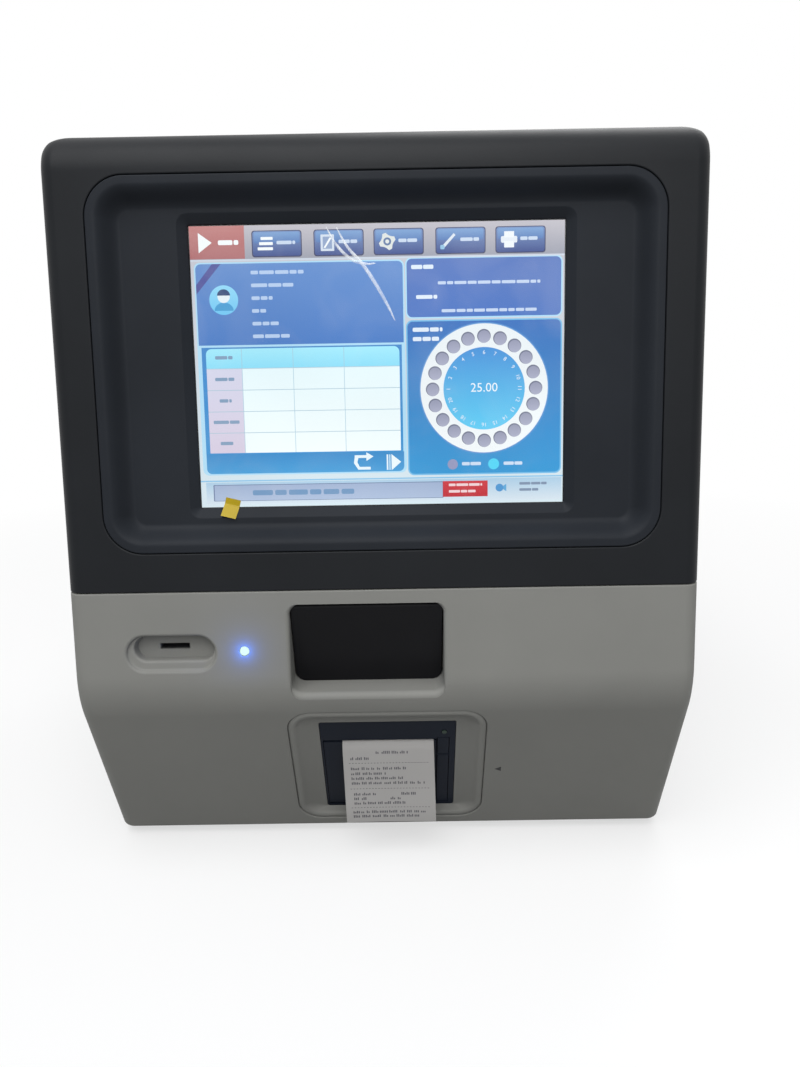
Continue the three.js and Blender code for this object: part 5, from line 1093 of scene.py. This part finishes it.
# --- printer, keys, sockets and small trim with rounded edges
for node_name, body, width in (("printer_body", "housing", 0.35), ("printer_door", "door", 0.35),
                               ("feed_button", "feed_key", 0.4), ("door_release", "release_key", 0.4)):
    softened(node_name, PRINTER_DARK, body, width)
for node_name in ("power_inlet", "power_switch"):
    softened(node_name, BLACK, "housing", 0.3)
for node_name in ("usb_port", "network_port", "serial_port"):
    softened(node_name, BRIGHT, "housing", 0.12)

# --- back: black cores in the sockets, and screws
REAR_Y, SOCKET_Z, CORE_DEPTH = DEPTH / 2 - WALL - GAP, 50, 3
for name, x, width, height, lip, depth in (
    ("usb_core", 30, 13.2, 14.5, 0.9, 6.5),
    ("network_core", 60, 16, 13.5, 0.9, 5.0),
    ("serial_core", 96, 31, 12.5, 1.7, 4.5),
):
    half_w, half_h, face = width / 2 - lip, height / 2 - lip, REAR_Y - depth
    core = span(x - half_w, x + half_w, face - CORE_DEPTH, face, SOCKET_Z - half_h, SOCKET_Z + half_h)
    dress(core, name, BLACK, soften=0.2)


def screw_head(name, x, z, radius, turn):
    """A low domed screw head with a cross recess, facing backwards."""
    high = radius * 0.42
    head = skin([circle_y(radius * r, x, REAR_Y + high * h, z, 28)
                 for r, h in ((1, 0), (1, 0.3), (0.93, 0.62), (0.75, 0.86), (0.4, 0.99))])
    reach, half = radius * 0.55, radius * 0.11
    for quarter in (0, pi / 2):
        spin = Matrix.Translation((x, 0, z)) @ Matrix.Rotation(turn + quarter, 4, "Y")
        cut(head, span(-reach, reach, REAR_Y + high * 0.35, REAR_Y + high * 2, -half, half, spin))
    dress(head, name, BRIGHT, angle=30)


for kind, radius, spots in (
    ("rear", 3.2, [(x, z) for z in (27, 101, 176) for x in (-143, 143)] + [(0, 27), (0, 176)]),
    ("fan", 2.6, [(x, z) for z in (141, 103) for x in (-119, -71)]),
):
    for i, (x, z) in enumerate(spots):
        screw_head(kind + "_screw_" + str(i + 1), x, z, radius, random.uniform(0, pi))

# --- stage, lamps and world
def background_seen(add):
    """1 for a ray that looks at the background, straight or by way of gloss or glass."""
    paths = add("LightPath").outputs
    seen = add("Math", {0: paths["Is Camera Ray"], 1: paths["Is Glossy Ray"]}, operation="MAXIMUM").outputs[0]
    return add("Math", {0: seen, 1: paths["Is Transmission Ray"]}, operation="MAXIMUM").outputs[0]


# Floor and backdrop: pale to the eye, darker to bounced light, and whiter away from the part's shadow
stage_look, stage_shader, add = new_material("studio_sweep")
seen = background_seen(add)
away = add("VectorMath", {0: add("TexCoord").outputs["Object"]}, operation="LENGTH").outputs["Value"]
whiter = remap(add, away, 0.6, 1.0, 0.35, 1.1)
part_seen = add("Math", {0: seen, 1: whiter}, operation="MULTIPLY").outputs[0]
pale = ramp(add, seen, (0.22, 0.22, 0.22), (0.9, 0.9, 0.9))
set_inputs(stage_shader, {"Base Color": pale, "Roughness": 0.9, "Specular IOR Level": 0})
white = add("Emission", {"Color": (1, 1, 1, 1), "Strength": 1.0})
mixer = add("MixShader", {0: part_seen, 1: stage_shader.outputs[0], 2: white.outputs[0]})
set_inputs(stage_look.node_tree.nodes["Material Output"], {"Surface": mixer.outputs[0]})

# The floor's near edge, where it starts to rise, the bend's radius, the backdrop's top and half the width
FLOOR_NEAR, FLOOR_FAR, BEND, BACKDROP_TOP, STAGE_HALF = -3.0, 1.6, 1.0, 3.5, 3.5
sweep = [(FLOOR_NEAR, 0.0)] + arc(FLOOR_FAR, BEND, BEND, -1, 0, 16) + [(FLOOR_FAR + BEND, BACKDROP_TOP)]
points = [(x, y, z) for x in (-STAGE_HALF, STAGE_HALF) for y, z in sweep]
faces = [(i, i + 1, len(sweep) + i + 1, len(sweep) + i) for i in range(len(sweep) - 1)]
mesh = bpy.data.meshes.new("studio_floor")
mesh.from_pydata(points, [], faces)
for face in mesh.polygons:
    face.use_smooth = True
mesh.materials.append(stage_look)
floor = new_object("studio_floor", mesh)

world = bpy.data.worlds.new("studio_world")
bpy.context.scene.world = world
world.use_nodes = True
add = node_adder(world.node_tree)
background = world.node_tree.nodes["Background"]
set_inputs(background, {"Color": (0.96, 0.98, 1.0, 1), "Strength": 0.45})
backdrop = add("Background", {"Color": (1, 1, 1, 1), "Strength": 1.0})
joined = add("MixShader", {0: background_seen(add), 1: background.outputs[0], 2: backdrop.outputs[0]})
set_inputs(world.node_tree.nodes["World Output"], {"Surface": joined.outputs[0]})

# Each lamp's place, the point it faces, its size in metres and its power in watts
for name, place, target, size, energy in (
    ("key_lamp", (-0.25, -0.8, 1.8), (0, 0, 0.25), 1.3, 22),
    ("front_lamp", (0.1, -1.8, 1.3), (0, 0, 0.3), 1.3, 14),
    ("back_lamp", (0.6, 1.3, 1.9), (0, 0, 0.25), 1.4, 14),
):
    data = bpy.data.lights.new(name, "AREA")
    data.shape, data.size, data.energy = "SQUARE", size, energy
    lamp = new_object(name, data)
    lamp.location = place
    lamp.rotation_euler = (Vector(target) - Vector(place)).to_track_quat("-Z", "Y").to_euler()

# The status lamp's glow on the housing round it
glow = bpy.data.lights.new("lamp_glow", "POINT")
glow.energy, glow.color, glow.shadow_soft_size = 0.006, (0.0, 0.17, 1.0), 2 * MM
lamp = new_object("lamp_glow", glow)
lamp.location = (ON_SCREEN @ Vector((LAMP_X, -SETBACK - 5, lamp_z))) * MM
lamp.visible_camera = False
